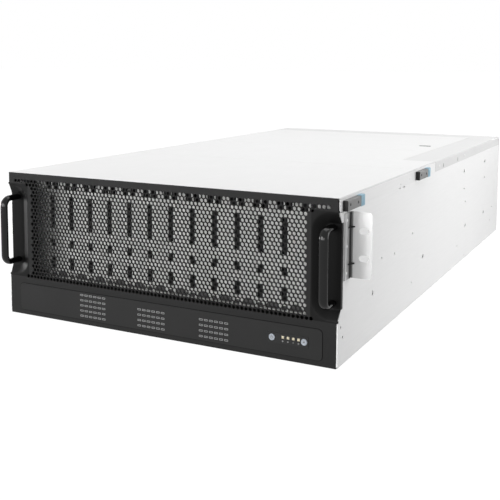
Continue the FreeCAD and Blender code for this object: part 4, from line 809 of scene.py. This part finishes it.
def chassis_tub():
    """Folded bottom and side walls, with the holes and hooks for the rack rails."""
    base = [(-SIDE, BASE_RISE), (-SIDE, 0), (SIDE, 0), (SIDE, BASE_RISE)]
    parts = [folded(base, TUB_SHEET, 2.0, (COVER_FRONT, DEPTH), "Y", ZINC)]
    loops = side_wall()
    for side, direction in SIDES:
        holes = [(side * y, z) for y, z in SMALL_HOLES]
        place = facing(direction, x=side * SIDE)
        parts.append(pierced(flipped(side, loops), ZINC, TUB_SHEET, place, holes, SMALL_HOLE, 10))
        lip = [(SIDE, STEP_Z - JOGGLE), (SIDE, STEP_Z), (LIP_SIDE, STEP_Z), (LIP_SIDE, LIP_TOP)]
        lip = flipped(side, [lip])[0]
        parts.append(folded(lip, side * TUB_SHEET, 0.12, (WALL_START, DEPTH), "Y", ZINC))
        web_x = mirrored(side, SIDE - 1.1, SIDE + 1.3)
        blade_x = mirrored(side, SIDE + 0.3, SIDE + 1.3)
        for y, z in RAIL_HOLES:
            parts.append(block(web_x, around(y, 1.6), (z + 0.1, z + 1.25), ZINC_GREY, 0.2))
            parts.append(block(blade_x, around(y, 1.6), (z + 1.1, z + 4.0), ZINC_GREY, 0.3))
    piece("folded_tub", "chassis", parts, ("chassis_tub",))


# Top
def flange(side, y, material, holes=()):
    """The side of a lid: a round bend from the top sheet and a flat below it."""
    edge, low = side * SIDE, HEIGHT - COVER_BEND
    bend = [(edge, low), (edge, HEIGHT), (side * TOP_SIDE, HEIGHT)]
    # The round bend is painted greyer: painted shade.
    parts = [folded(bend, side * COVER_SHEET, 1.2, y, "Y", SHADED_ZINC)]
    loops = [box_loop(y, (FLANGE_BOTTOM, low))] + [slot_loop(*hole) for hole in holes]
    place = facing(dict(SIDES)[side], x=edge)
    parts.append(pierced(flipped(side, loops), material, COVER_SHEET, place))
    return parts


def top_sheet(outline, material, holes=()):
    """The flat of a lid."""
    return pierced([outline, *holes], material, COVER_SHEET, facing("top", z=HEIGHT))


def front_lid():
    """Front lid, with a hole and a pip in its right-hand flange."""
    y = (COVER_FRONT, SEAM_FRONT)
    parts = [top_sheet(box_loop((-TOP_SIDE, TOP_SIDE), y), ZINC)]
    parts += flange(-1, y, ZINC) + flange(1, y, ZINC, [(206, 164.4, 2.4, 2.2)])
    parts.append(fasteners(PIP, "right", [(SIDE, 244, 167.5)], ZINC))
    piece("front_lid", "front_cover", parts, ("front_cover",))


def middle_lid():
    """Middle lid, cut out at its right rear for the fixed strip, with two ticks along its front seam."""
    y = (SEAM_REAR, STRIP_SEAM)
    seam_gap = 0.6
    corner = STRIP_FRONT - seam_gap
    outline = [(-TOP_SIDE, y[0]), (TOP_SIDE, y[0]), (TOP_SIDE, corner), (COVER_RIGHT, corner),
               (COVER_RIGHT, y[1]), (-TOP_SIDE, y[1])]
    ticks = [slot_loop(x, y[0] + 2.2, 9, 1.6) for x in (-71, 47)]
    parts = [top_sheet(outline, ZINC, ticks)] + flange(-1, y, ZINC) + flange(1, (y[0], corner), ZINC)
    piece("middle_lid", "middle_cover", parts, ("middle_cover",))


def rear_lid():
    """Rear lid, with a finger cup, whose black walls and floor are painted shade."""
    cup, corner, rim, depth = ((133.4, 153.4), (575.0, 585.0)), 3.0, 0.8, 3.0
    outline = box_loop((-TOP_SIDE, COVER_RIGHT), REAR_COVER_Y)
    opening = box_loop(*cup, corner)
    parts = [top_sheet(outline, ZINC, [opening])] + flange(-1, REAR_COVER_Y, ZINC)
    wall = [opening, box_loop(grown(cup[0], -rim), grown(cup[1], -rim), corner - rim)]
    # The cup's black walls and floor: painted shade.
    parts.append(pierced(wall, BLACK_NYLON_AND_SHADE, depth, facing("top", z=HEIGHT - 0.05)))
    parts.append(pierced([opening], BLACK_NYLON_AND_SHADE, 0.9, facing("top", z=HEIGHT - 0.05 - depth)))
    piece("rear_lid", "rear_cover", parts, ("rear_cover",))


def top_frame():
    """Fixed strip over the power channel and band along the rear, with the ledges that carry the lids."""
    outline = [(STRIP_LEFT, STRIP_FRONT), (TOP_SIDE, STRIP_FRONT), (TOP_SIDE, DEPTH), (-TOP_SIDE, DEPTH),
               (-TOP_SIDE, BAND_FRONT), (STRIP_LEFT, BAND_FRONT)]
    parts = [top_sheet(outline, ZINC_DULL)]
    shaded_slots = (412, 498)
    # Its right-hand flange is painted greyer than the top: painted shade.
    parts += flange(1, (STRIP_FRONT, DEPTH), SHADED_ZINC, [(y, 166.3, 2.6, 5.5) for y in shaded_slots])
    # Black plugs in its two slots: painted shade.
    parts += [block((SIDE - 0.9, SIDE - 0.35), around(y, 1.25), (163.6, 169), BLACK_NYLON_AND_SHADE, 0) for y in shaded_slots]
    parts += flange(-1, (BAND_FRONT, DEPTH), ZINC_DULL)
    parts.append(fasteners(PIP, "right", [(SIDE, 390, 167), (SIDE, 543, 168)], ZINC))
    ledge, web, low, web_top = 1.5, 1.0, LIP_TOP - COVER_SHEET, HEIGHT - 0.5
    strip_ledge = (STRIP_LEFT - ledge, STRIP_LEFT + web), (STRIP_FRONT, DEPTH - ledge)
    strip_web = (STRIP_LEFT, STRIP_LEFT + web), (STRIP_FRONT, BAND_FRONT + web)
    band = (-LIP_SIDE + ledge, STRIP_LEFT)
    band_ledge = band, (BAND_FRONT - ledge, BAND_FRONT + web)
    band_web = band, (BAND_FRONT, BAND_FRONT + web)
    places = ((strip_ledge, LIP_TOP), (strip_web, web_top), (band_ledge, LIP_TOP), (band_web, web_top))
    for place, top in places:
        parts.append(block(*place, (low, top), ZINC_DULL, 0.1))
    piece("top_frame_sheet", "chassis", parts, ("top_frame",))


# Latches and ears
LATCH_PROUD = 5.5        # of a channel, from the side of the chassis
TAB_NEAR, TAB_FAR, TAB_BEVEL_X, TAB_BEVEL_Y = 0.3, 5.6, 2.0, 2.2


def latch_tab(side, y, z):
    """A blue thumb tab with a slanted end and four ribs."""
    near, far = side * (SIDE + TAB_NEAR), side * (SIDE + TAB_FAR)
    slant = side * (SIDE + TAB_FAR - TAB_BEVEL_X)
    line = [(near, y[1]), (slant, y[1]), (far, y[1] - TAB_BEVEL_Y), (far, y[0])]
    outer = [[(a, b, height) for a, b in line] for height in z]
    inner = [[(near, b, height) for _, b in line] for height in z]
    parts = [shell(outer, inner, BLUE)]
    rib_x, rib_z = mirrored(side, SIDE + 5.3, SIDE + 5.8), grown(z, -1)
    for i in range(4):
        rib = y[0] + 1.6 + 2.2 * i
        parts.append(block(rib_x, (rib, rib + 1), rib_z, BLUE, 0.15))
    return parts


def latches():
    """Sliding latches on the lids: a riveted channel with a black end, a bar and a ribbed blue tab."""
    proud, end = SIDE + LATCH_PROUD, 0.8
    for place in ("front", "middle"):
        _, y, z = extent(place + "_latch_housings")
        parts = []
        for side, name in SIDES:
            channel = flipped(side, [[(SIDE, z[0]), (proud, z[0]), (proud, z[1]), (SIDE, z[1])]])[0]
            parts.append(folded(channel, side * 1.2, 1.0, (y[0] + end, y[1]), "Y", LATCH_GREY))
            parts.append(block(mirrored(side, SIDE + 0.1, proud), (y[0], y[0] + end), z, BLACK_NYLON_AND_SHADE, 0.25))
            heads = [(side * proud, y[0] + 7.4, 167.9), (side * proud, y[0] + 31, 167.2)]
            parts.append(fasteners(RIVET, name, heads, BLACK_NYLON_AND_SHADE))
            latch = f"{place}_{name}_latch"
            bar_x, (_, bar_rear), bar_z = extent(latch + "_bar")
            bar = block(bar_x, (y[0] + 1.0, bar_rear), bar_z, BLACK_NYLON_AND_SHADE, 0.4)
            piece(latch + "_slide", latch, [bar], (latch + "_bar",))
            _, tab_y, tab_z = extent(latch + "_tab")
            piece(latch + "_grip", latch, latch_tab(side, tab_y, tab_z), (latch + "_tab",))
        piece(place + "_latch_channels", place + "_cover", parts, (place + "_latch_housings",))


def rack_ears():
    """Angle brackets with two oblong slots, a black strip of painted shade in the bend, black gussets of
    painted shade and rivets in the leg.
    """
    sheet, bend_reach, corner = 1.5, 2.0, 4.0
    slot_x, slot_z, slot_pitch = 232.55, 124.5, 28.575
    rivets, gussets, half_gusset = (96.0, 124.0, 151.0), (104.6, 143.0), 0.7
    for side, direction in SIDES:
        name = direction + "_ear"
        x, y, z = extent(name)
        reach = max(abs(x[0]), abs(x[1]))
        face = y[1] - sheet
        leg = SIDE + sheet
        bend = flipped(side, [[(leg, y[0]), (leg, face), (leg + bend_reach, face)]])[0]
        # The leg carries painted shade, darker towards the bend.
        parts = [folded(bend, side * sheet, 0.3, z, "Z", SHADED_LEG_PLATE)]
        inner = leg + bend_reach
        corners = [(inner, z[0]), (reach, z[0]), (reach, z[1]), (inner, z[1])]
        loops = [[tuple(p) for p in rounded(corners, corner, 6)]]
        loops += [slot_loop(slot_x, height, 10.5, 7) for height in around(slot_z, slot_pitch / 2)]
        parts.append(pierced(flipped(side, loops), ZINC_GREY, sheet, facing("front", y=face)))
        # A black strip in the inside corner of the bend: painted shade.
        parts.append(block(mirrored(side, leg, leg + 0.3), (face - 4.6, face - 0.05), z, BLACK_NYLON_AND_SHADE, 0.1))
        # Pressed gussets across the bend, in black: painted shade.
        start, end, root = face - 9, face - 0.1, side * (leg + 0.1)
        near, far = side * (leg + 0.2), side * (leg + 4.2)
        for height in gussets:
            levels = around(height, half_gusset)
            front = [[(near, start, level), (far, end, level)] for level in levels]
            back = [[(root, start, level), (root, end, level)] for level in levels]
            parts.append(shell(front, back, BLACK_NYLON_AND_SHADE))
        heads = [(side * leg, y[0] + 5, height) for height in rivets]
        parts.append(fasteners(RIVET, direction, heads, ZINC_GREY))
        piece(name + "_bracket", "chassis", parts, (name,))


# Inside
WALL_SLOT = 3.4          # half width of the slots in the cage wall
WALL_SLOTS = ((103.5, 145), (80.5, 89.5), (51.5, 68), (41.5, 47))
NOTCH = 9.3              # half width of the notches in its upper edge
NOTCH_DEPTH = 15.5
TONGUE = 1.3             # half width of the tongue in a notch
TONGUE_DROP = 3.0
ARCH_Z, ARCH_RADIUS, ARCH_STEPS = 42.0, 8.5, 10


def cage_wall():
    """The sheet behind the honeycomb, with slots and a notch at each line of drives, a grey sheet of painted
    shade behind its arches, and black strips of painted shade round it.
    """
    lines = [CAGE_LEFT + COLUMN_PITCH * i for i in range(1, COLUMNS + 1)]
    notch, tongue = WALL_TOP - NOTCH_DEPTH, WALL_TOP - TONGUE_DROP
    edge = [(-LIP_INNER, WALL_TOP)]
    for x in lines:
        left = [(NOTCH, WALL_TOP), (NOTCH, notch), (TONGUE, notch), (TONGUE, tongue)]
        edge += [(x - a, b) for a, b in left] + [(x + a, b) for a, b in reversed(left)]
    right = [(LIP_INNER, WALL_TOP), (LIP_INNER, LIP_LOW), (WALL_SIDE, LIP_LOW), (WALL_SIDE, TUB_SHEET)]
    edge += right + [(-a, b) for a, b in reversed(right[1:])]
    loops = [edge]
    arch = [(ARCH_RADIUS * math.cos(a), ARCH_Z + ARCH_RADIUS * math.sin(a))
            for a in evenly(0, math.pi, ARCH_STEPS)]
    for x in lines:
        loops += [box_loop(around(x, WALL_SLOT), span, 1.0, 2) for span in WALL_SLOTS]
        loops.append([(x - COLUMN_PITCH / 2 + a, b) for a, b in arch])
    wall = pierced(loops, WALL_ZINC, TUB_SHEET, facing("front", y=CAGE_FRONT))
    # A grey sheet behind the arches: painted shade.
    arch_shade = block((-200, 200), (CAGE_START + 0.1, CAGE_START + 0.7), (38, 52), ARCH_SHADE_SHEET, 0.1)
    piece("cage_wall_sheet", "chassis", [wall, arch_shade], ("cage_front_wall",))
    # Black strips at the ends, the top corners and the bottom of the cage wall: painted shade, seen through
    # the honeycomb.
    shade_strip_y, shelf_y = (CAGE_FRONT - 3, CAGE_FRONT - 0.05), (4, CAGE_FRONT - 3.2)
    shade_strips = [block(mirrored(side, 203, 214), shade_strip_y, (6, 171), BLACK_FOAM_AND_SHADE, 0.8) for side, _ in SIDES]
    shade_strips.append(block((-202, 202), shade_strip_y, (26, 40.8), BLACK_FOAM_AND_SHADE, 0.8))
    shade_strips += [block(mirrored(side, 211.5, 214.2), shelf_y, (163.5, 171), BLACK_FOAM_AND_SHADE, 0.5) for side, _ in SIDES]
    piece("cage_air_seals", "chassis", shade_strips, ())


def drives():
    """Disk drives on end: cast base, steel lid, paper label and a plastic cap with a blue release."""
    low, high = extent("drive_row_1")[2]
    # The base and the cap are dark: painted shade for the inside of the cage, seen through the slots of its
    # wall.
    shapes = [block((-12.3, 13.05), (-50.8, 50.8), (low, high), CAST, 0.8),
              block((-13.05, -12.2), (-48.5, 48.5), (low + 4, high - 3), STAINLESS, 0.3),
              block((-13.05, -12.9), (-36, 36), (low + 30, high - 18), PAPER, 0),
              block((-11, 11), (-46, 46), (high - 0.2, high + 3.2), BLACK_NYLON_AND_SHADE, 0.8),
              block((-7, 7), (-12, 30), (high + 3.1, high + 3.7), LATCH_GREY, 0.25),
              block((-6, 6), (-38, -22), (high + 3.0, high + 4.6), BLUE, 0.6)]
    shapes = [at_origin(shape) for shape in shapes]
    for row in range(1, 7):
        name = f"drive_row_{row}"
        y = middle(extent(name)[1])
        places = [(CAGE_LEFT + (column + 0.5) * COLUMN_PITCH, y, 0) for column in range(COLUMNS)]
        parts = [copies(shape, places, shape.materials[0]) for shape in shapes]
        piece(f"drives_{row}", "chassis", parts, (name,))


# Rear
FANS = [middle(extent(f"fan_rotor_{i}")[0]) for i in (1, 2, 3)]
FAN_Z = middle(extent("fan_frames")[2])
FAN_HALF = 46.0
FAN_SCREW = 41.25        # from the middle of a fan to its screws, each way
FAN_BORE = 44.0          # radius
FAN_HUB = 18.0           # radius
FAN_SHAFT = 2.5          # radius
FAN_PLATE = 4.0
BLADE_COUNT = 7
BLADE_ROOT, BLADE_SPAN, BLADE_CHORD = 17.0, 25.6, 26.0
BLADE_PITCH = (52, 32)   # degrees, at the root and at the tip
BLADE_CAMBER, BLADE_SWEEP, BLADE_HALF = 3.0, 0.25, 0.8
BLADE_STEPS = 8
CORNERS = [(a, b) for a in (-1, 1) for b in (-1, 1)]
BAY_FIT = 0.5            # round a module in its bay


def rear_panel():
    """Rear sheet with the module bays, three exhaust grilles and their screws."""
    _, (_, rear), (_, top) = extent("rear_panel")
    half = [(WALL_SIDE, TUB_SHEET), (WALL_SIDE, LIP_LOW), (LIP_INNER, LIP_LOW), (LIP_INNER, top)]
    loops = [half + [(-a, b) for a, b in reversed(half)]]
    loops.append(box_loop((-213.75, -172.75), (5.4, 155.0), 1.0, 2))
    for i in (1, 2):
        x = extent(f"expander_{i}_case")[0]
        loops.append(box_loop(grown((-x[1], -x[0]), BAY_FIT), (5.4, 74.2), 1.0, 2))
    holes, heads = [], []
    for x in FANS:
        holes += honeycomb(around(-x, 43), around(FAN_Z, 43), 5.6,
                           lambda a, b: math.hypot(a + x, b - FAN_Z) < 41.5)
        heads += [(x + FAN_SCREW * a, rear, FAN_Z + FAN_SCREW * b) for a, b in CORNERS]
    heads += [(x, rear, 168.5) for x in (-206, -84, 40, 160, 206)]
    sheet = pierced(loops, ZINC_DULL, TUB_SHEET, facing("rear", y=rear), holes, 5.3, turn=POINT_UP)
    piece("rear_sheet", "chassis", [sheet, fasteners(SCREW, "rear", heads, NICKEL)], ("rear_panel",))


def fan_blade():
    """One cambered and swept blade, which points up from the origin."""
    grid = []
    for j in range(BLADE_STEPS + 1):
        out = j / BLADE_STEPS
        radius = BLADE_ROOT + BLADE_SPAN * out
        pitch = math.radians(BLADE_PITCH[0] + (BLADE_PITCH[1] - BLADE_PITCH[0]) * out)
        row = []
        for k in range(BLADE_STEPS + 1):
            s = k / BLADE_STEPS - 0.5
            along = s * BLADE_CHORD * math.sin(pitch)
            across = s * BLADE_CHORD * math.cos(pitch) + BLADE_CAMBER * (1 - 4 * s * s)
            angle = across / radius + BLADE_SWEEP * out ** 2
            row.append((radius * math.sin(angle), along, radius * math.cos(angle)))
        grid.append(row)
    skins = [[[(a, b + face, c) for a, b, c in row] for row in grid] for face in (-BLADE_HALF, BLADE_HALF)]
    return at_origin(shell(*skins, BLACK_NYLON_AND_SHADE))


def fan_frame(x, y):
    """A square frame with a round throat, and the hub and struts that carry the rotor."""
    parts = []
    outline = box_loop(around(x, FAN_HALF), around(FAN_Z, FAN_HALF), 5.0)
    for plate in (y[0], y[1] - FAN_PLATE):
        loops = [outline, circle_loop(x, FAN_Z, 2 * FAN_BORE, 48)]
        loops += [circle_loop(x + FAN_SCREW * a, FAN_Z + FAN_SCREW * b, 4.4, 12) for a, b in CORNERS]
        parts.append(pierced(loops, BLACK_NYLON_AND_SHADE, FAN_PLATE, facing("front", y=plate)))
    front, rear = -y[0], -y[1]
    outer, bearing, shaft = FAN_BORE + 1.6, rear + FAN_PLATE, front - 8
    throat = [(FAN_BORE, rear), (FAN_BORE, front), (outer, front), (outer, rear), (FAN_BORE, rear)]
    hub = [(0, rear), (FAN_HUB, rear), (FAN_HUB, bearing), (FAN_SHAFT, bearing), (FAN_SHAFT, shaft),
           (0, shaft)]
    for profile, steps in ((throat, 48), (hub, 32)):
        turned = spun(profile, BLACK_NYLON_AND_SHADE, steps)
        turned.transform(facing("front", x, 0, FAN_Z))
        parts.append(turned)
    strut_y = (y[1] - FAN_PLATE, y[1] - 0.5)
    for half_x, half_z in ((44.5, 2), (2, 44.5)):
        parts.append(block(around(x, half_x), strut_y, around(FAN_Z, half_z), BLACK_NYLON_AND_SHADE, 0.6))
    return parts


def fans():
    """Axial fans in their frames, each with a rotor of swept blades."""
    y = extent("fan_frames")[1]
    parts = []
    for i, x in enumerate(FANS, 1):
        parts += fan_frame(x, y)
        span = extent(f"fan_rotor_{i}")[1]
        front, rear = -span[0], -span[1]
        bore, dish = FAN_SHAFT + 0.1, front - 0.6
        profile = [(bore, rear), (FAN_HUB, rear), (FAN_HUB, front - 2), (16, front), (4, front), (3, dish),
                   (0, dish)]
        cup = spun(profile, BLACK_NYLON_AND_SHADE, 32)
        cup.transform(facing("front", x, 0, FAN_Z))
        turns = [(0, 2 * math.pi * k / BLADE_COUNT, 0) for k in range(BLADE_COUNT)]
        blades = copies(fan_blade(), [(x, middle(span), FAN_Z)] * BLADE_COUNT, BLACK_NYLON_AND_SHADE, turns)
        piece(f"fan_impeller_{i}", f"fan_{i}", [cup, blades], (f"fan_rotor_{i}",))
    piece("fan_housings", "chassis", parts, ("fan_frames",))


# Modules
CASE_SHEET = 1.0


def module_case(x, y, z, recess, cuts, holes, size):
    """A folded case with a shallow dark chamber behind its pierced rear plate."""
    back = y[1] - CASE_SHEET
    chamber = (back - recess, back)
    parts = [block(x, (y[0], chamber[0]), z, ZINC_DULL, 0.6)]
    upright = grown(z, -CASE_SHEET)
    walls = [(x, (z[0], z[0] + CASE_SHEET)), (x, (z[1] - CASE_SHEET, z[1])),
             ((x[0], x[0] + CASE_SHEET), upright), ((x[1] - CASE_SHEET, x[1]), upright)]
    parts += [block(a, chamber, b, ZINC_DULL, 0) for a, b in walls]
    inset = -CASE_SHEET - 0.05
    parts.append(block(grown(x, inset), (chamber[0], chamber[0] + 0.5), grown(z, inset), BLACK_NYLON_AND_SHADE, 0))
    loops = [box_loop((-x[1], -x[0]), z, 0.6, 2)] + cuts
    parts.append(pierced(loops, ZINC_DULL, CASE_SHEET, facing("rear", y=y[1]), holes, size, turn=POINT_UP))
    return parts


def lamps_at(profile, places):
    """Small green lamps on a rear plate."""
    return fasteners(spun(profile, LAMP_GREEN, 12), "rear", places, LAMP_GREEN)


def power_supplies():
    """Hot-swap supplies: vented rear plate, inlet with three blades, strap handle, lamp and release tab."""
    inlet_half, inlet_z, shroud, blade_z = (8.5, 12.5), 18.0, 1.0, 2.2
    for name in ("lower", "upper"):
        x, (front, _), z = extent(name + "_psu_case")
        y, centre, bottom = (front, DEPTH), middle(x), z[0]
        inlet = around(-centre, inlet_half[0]), around(bottom + inlet_z, inlet_half[1])
        cut = box_loop(*inlet, 1.5, 3)
        holes = honeycomb((-centre - 7, -centre + 9.5), (bottom + 35, bottom + 70), 4.2, lambda a, b: True)
        parts = module_case(x, y, z, 16.0, [cut], holes, 3.9)
        rim = box_loop(grown(inlet[0], shroud), grown(inlet[1], shroud), 2.0, 3)
        parts.append(pierced([rim, cut], BLACK_NYLON_AND_SHADE, 15.0, facing("rear", y=DEPTH - CASE_SHEET)))
        for across, up in ((0, 5), (-4.5, -3), (4.5, -3)):
            parts.append(block(around(centre + across, 1), (DEPTH - 15, DEPTH - 3),
                               around(bottom + inlet_z + up, blade_z), NICKEL, 0.3))
        parts.append(lamps_at([(0, 0.3), (1.1, 0.2), (1.4, 0)], [(x[1] - 5, DEPTH, bottom + 68)]))
        heads = [(corner, DEPTH, bottom + 4) for corner in grown(x, -4)]
        parts.append(fasteners(SCREW, "rear", heads, NICKEL))
        piece(name + "_supply", name + "_psu", parts, (name + "_psu_case",))
        x, y, z = extent(name + "_psu_handle")
        strap = folded([(y[0], z[0]), (y[1], z[0]), (y[1], z[1]), (y[0], z[1])], 3.2, 6.0, x, "X", BLACK_NYLON_AND_SHADE)
        piece(name + "_supply_strap", name + "_psu", [strap], (name + "_psu_handle",))
        x, y, z = extent(name + "_psu_tab")
        grip = [block(x, y, z, BLUE, 0.8)]
        for i in range(3):
            rib = y[0] + 3 + 2.5 * i
            grip.append(block((x[1] - 0.1, x[1]), (rib, rib + 1), grown(z, -2), BLUE, 0))
        piece(name + "_supply_release", name + "_psu_release", grip, (name + "_psu_tab",))


PORT_HALF = 11.0
PORT_PITCH = 30.0
PORT_Z = (17.25, 26.75)  # above the underside of a module
PORT_WALL = 0.4
LEVER_Z = 52.0
LEVER_HALF = 4.5
LEVER_PIN = (-39.0, 4.0)    # from the middle of a module and from its rear plate
LUG = 3.0


def expander_case(x, y, z):
    """Case, ports, lamps and screws of an expander module."""
    centre, bottom = middle(x), z[0]
    ports = [centre + PORT_PITCH * k for k in (-1.5, -0.5, 0.5, 1.5)]
    low, high = bottom + PORT_Z[0], bottom + PORT_Z[1]
    cuts = [box_loop(around(-port, PORT_HALF), (low, high), 0.5, 2) for port in ports]
    holes = honeycomb(around(-centre, 84), (bottom + 34, bottom + 62), 6.0,
                      lambda a, b: abs(b - bottom - LEVER_Z) > 11 or abs(a + centre) > 48)
    parts = module_case(x, y, z, 12.0, cuts, holes, 5.2)
    for port in ports:
        cage = [box_loop(around(-port, PORT_HALF + wall), grown((low, high), wall))
                for wall in (PORT_WALL, 0)]
        parts.append(pierced(cage, STAINLESS, 11.4, facing("rear", y=DEPTH - 0.2)))
        parts.append(block(around(port, 8), (DEPTH - 12, DEPTH - 4), (low + 3.4, low + 5.2), BOARD, 0.2))
    parts.append(lamps_at([(0, 0.4), (1.1, 0.3), (1.5, 0)], [(port, DEPTH, bottom + 11) for port in ports]))
    heads = [(a, DEPTH, bottom + height) for a in around(centre, 86) for height in (6, 62)]
    parts.append(fasteners(SCREW, "rear", heads, NICKEL))
    return parts


def expanders():
    """Expander modules: four port cages, vents, lamps and a folding ejector lever."""
    for name in ("expander_1", "expander_2"):
        x, (front, _), z = extent(name + "_case")
        parts = expander_case(x, (front, DEPTH), z)
        pin_x, pin_y, pin_z = middle(x) + LEVER_PIN[0], DEPTH + LEVER_PIN[1], z[0] + LEVER_Z
        lug = [box_loop(around(pin_x, 4), (DEPTH, DEPTH + 8), 1.5, 3), circle_loop(pin_x, pin_y, 4.2, 16)]
        for low in (pin_z - 7.8, pin_z + 4.8):
            parts.append(pierced(lug, ZINC_DULL, LUG, facing("top", z=low + LUG)))
        piece(name + "_module", name, parts, (name + "_case",))
        tip = -extent(name + "_lever")[0][1]
        bar = [box_loop((tip, -pin_x), around(pin_z, LEVER_HALF), 2.0, 4), slot_loop(tip + 14, pin_z, 16, 4)]
        arm = pierced(bar, BLUE, 4.0, facing("rear", y=pin_y + 2))
        pin = spun([(0, -7.8), (1.7, -7.8), (2.0, -7.5), (2.0, 7.5), (1.7, 7.8), (0, 7.8)], NICKEL, 16)
        pin.transform(facing("top", pin_x, pin_y, pin_z))
        piece(name + "_ejector", name + "_lever", [arm, pin], (name + "_lever",))


front_bezel()
front_handles()
overlay()
control_window()
push_buttons()
chassis_tub()
front_lid()
middle_lid()
rear_lid()
top_frame()
latches()
rack_ears()
cage_wall()
drives()
rear_panel()
fans()
power_supplies()
expanders()

# Camera, matched to the photograph: its own X, Y and Z axes and its place
CAMERA_AXES = ((0.89046, 0.45504, 0.00425), (-0.04997, 0.08849, 0.99482), (0.45231, -0.88606, 0.10153))
CAMERA_PLACE = (514.03, -778.61, 308.80)
camera_data = bpy.data.cameras.new("camera")
camera = bpy.data.objects.new("camera", camera_data)
bpy.context.scene.collection.objects.link(camera)
camera.matrix_world = Matrix.Translation(at(*CAMERA_PLACE)) @ Matrix(CAMERA_AXES).transposed().to_4x4()
camera_data.lens = 60.647
camera_data.sensor_width = 36.0
camera_data.shift_y = -0.20
camera_data.clip_end = 50.0
bpy.context.scene.camera = camera

# Studio: white surroundings and seven soft lamps
FILL_LEVEL = 0.31        # of the surroundings, where they only light things
PAPER_GLOW = 1.28        # of the floor, where it is seen
PAPER_GLOW_SHARE = 0.77
FLOOR_HALF = 30.0        # metres


def seen_directly(tree):
    """One where the eye, a mirror or clear glass shows the surroundings, zero where they only light."""
    path = node(tree, "ShaderNodeLightPath")
    total = path.outputs["Is Camera Ray"]
    for ray in ("Is Glossy Ray", "Is Transmission Ray"):
        both = node(tree, "ShaderNodeMath", {0: total, 1: path.outputs[ray]}, operation="ADD", use_clamp=True)
        total = both.outputs[0]
    return total


world = bpy.data.worlds.new("studio")
bpy.context.scene.world = world
world.use_nodes = True
tree = world.node_tree
level = node(tree, "ShaderNodeMapRange", {"Value": seen_directly(tree), "To Min": FILL_LEVEL, "To Max": 1.0})
background = tree.nodes["Background"]
background.inputs["Color"].default_value = (1, 1, 1, 1)
tree.links.new(level.outputs[0], background.inputs["Strength"])


def lamp(name, place, target, size, power, spread=180):
    """A square soft lamp. Its spread is in degrees."""
    data = bpy.data.lights.new(name, "AREA")
    data.size = size
    data.energy = power
    data.spread = math.radians(spread)
    made = bpy.data.objects.new(name, data)
    bpy.context.scene.collection.objects.link(made)
    made.location = place
    made.rotation_euler = (Vector(target) - Vector(place)).to_track_quat("-Z", "Y").to_euler()


lamp("top_softbox", (0.2, 0.5, 2.3), (0, 0.1, 0.1), 2.2, 32.5)
lamp("front_softbox", (-0.95, -2.2, 0.35), (0, -0.43, 0.1), 1.2, 41)
lamp("front_fill", (0.3, -2.4, 0.3), (0, -0.43, 0.1), 0.8, 10)
lamp("right_softbox", (1.5, 0.28, 0.38), (0.217, 0.07, 0.12), 0.8, 2.35, 66)
lamp("left_softbox", (-1.5, 0.35, 0.4), (-0.217, 0.05, 0.12), 0.8, 1.8, 70)
lamp("left_kicker", (-1.1, -0.48, 0.12), (-0.195, -0.43, 0.105), 0.25, 0.085, 25)
lamp("rear_softbox", (0.2, 2.5, 0.22), (0, 0.4, 0.08), 0.5, 24)

floor_mesh = bpy.data.meshes.new("floor")
floor_corners = [(a, b, 0) for a, b in box_loop((-FLOOR_HALF, FLOOR_HALF), (-FLOOR_HALF, FLOOR_HALF))]
floor_mesh.from_pydata(floor_corners, [], [(0, 1, 2, 3)])
floor = bpy.data.objects.new("floor", floor_mesh)
bpy.context.scene.collection.objects.link(floor)
paper = bpy.data.materials.new("white_studio_paper")
paper.use_nodes = True
tree = paper.node_tree
lit = tree.nodes["Principled BSDF"]
lit.inputs["Base Color"].default_value = linear("#848484")
lit.inputs["Roughness"].default_value = 0.9
glow = node(tree, "ShaderNodeEmission", {"Color": (1, 1, 1, 1), "Strength": PAPER_GLOW})
share = node(tree, "ShaderNodeMath", {0: seen_directly(tree), 1: PAPER_GLOW_SHARE}, operation="MULTIPLY")
mixed = node(tree, "ShaderNodeMixShader", {0: share.outputs[0], 1: lit.outputs[0], 2: glow.outputs[0]})
tree.links.new(mixed.outputs[0], tree.nodes["Material Output"].inputs["Surface"])
floor_mesh.materials.append(paper)

# Every solid that still shows takes the finish of its slot
SLOT_FINISH = {"zinc_steel": ZINC, "bezel_black": POWDER, "handle_black": ENAMEL, "overlay_film": FILM,
               "smoked_window": SMOKED, "button_silver": SILVER, "light_pipe": LIT_ACRYLIC,
               "circuit_board": BOARD, "socket_black": BLACK_NYLON_AND_SHADE, "latch_grey": LATCH_GREY, "latch_black": BLACK_NYLON_AND_SHADE,
               "tab_blue": BLUE, "drive_metal": CAST, "module_case": ZINC_DULL, "fan_black": BLACK_NYLON_AND_SHADE,
               "grip_black": BLACK_NYLON_AND_SHADE, "brass_post": BRASS}
for entry in frame["record"]["subparts"]:
    solid = frame["nodes"][entry["node"]].data
    solid.materials.clear()
    solid.materials.append(SLOT_FINISH[entry["material_slot"]])

view = bpy.context.scene.view_settings
view.view_transform = "Standard"
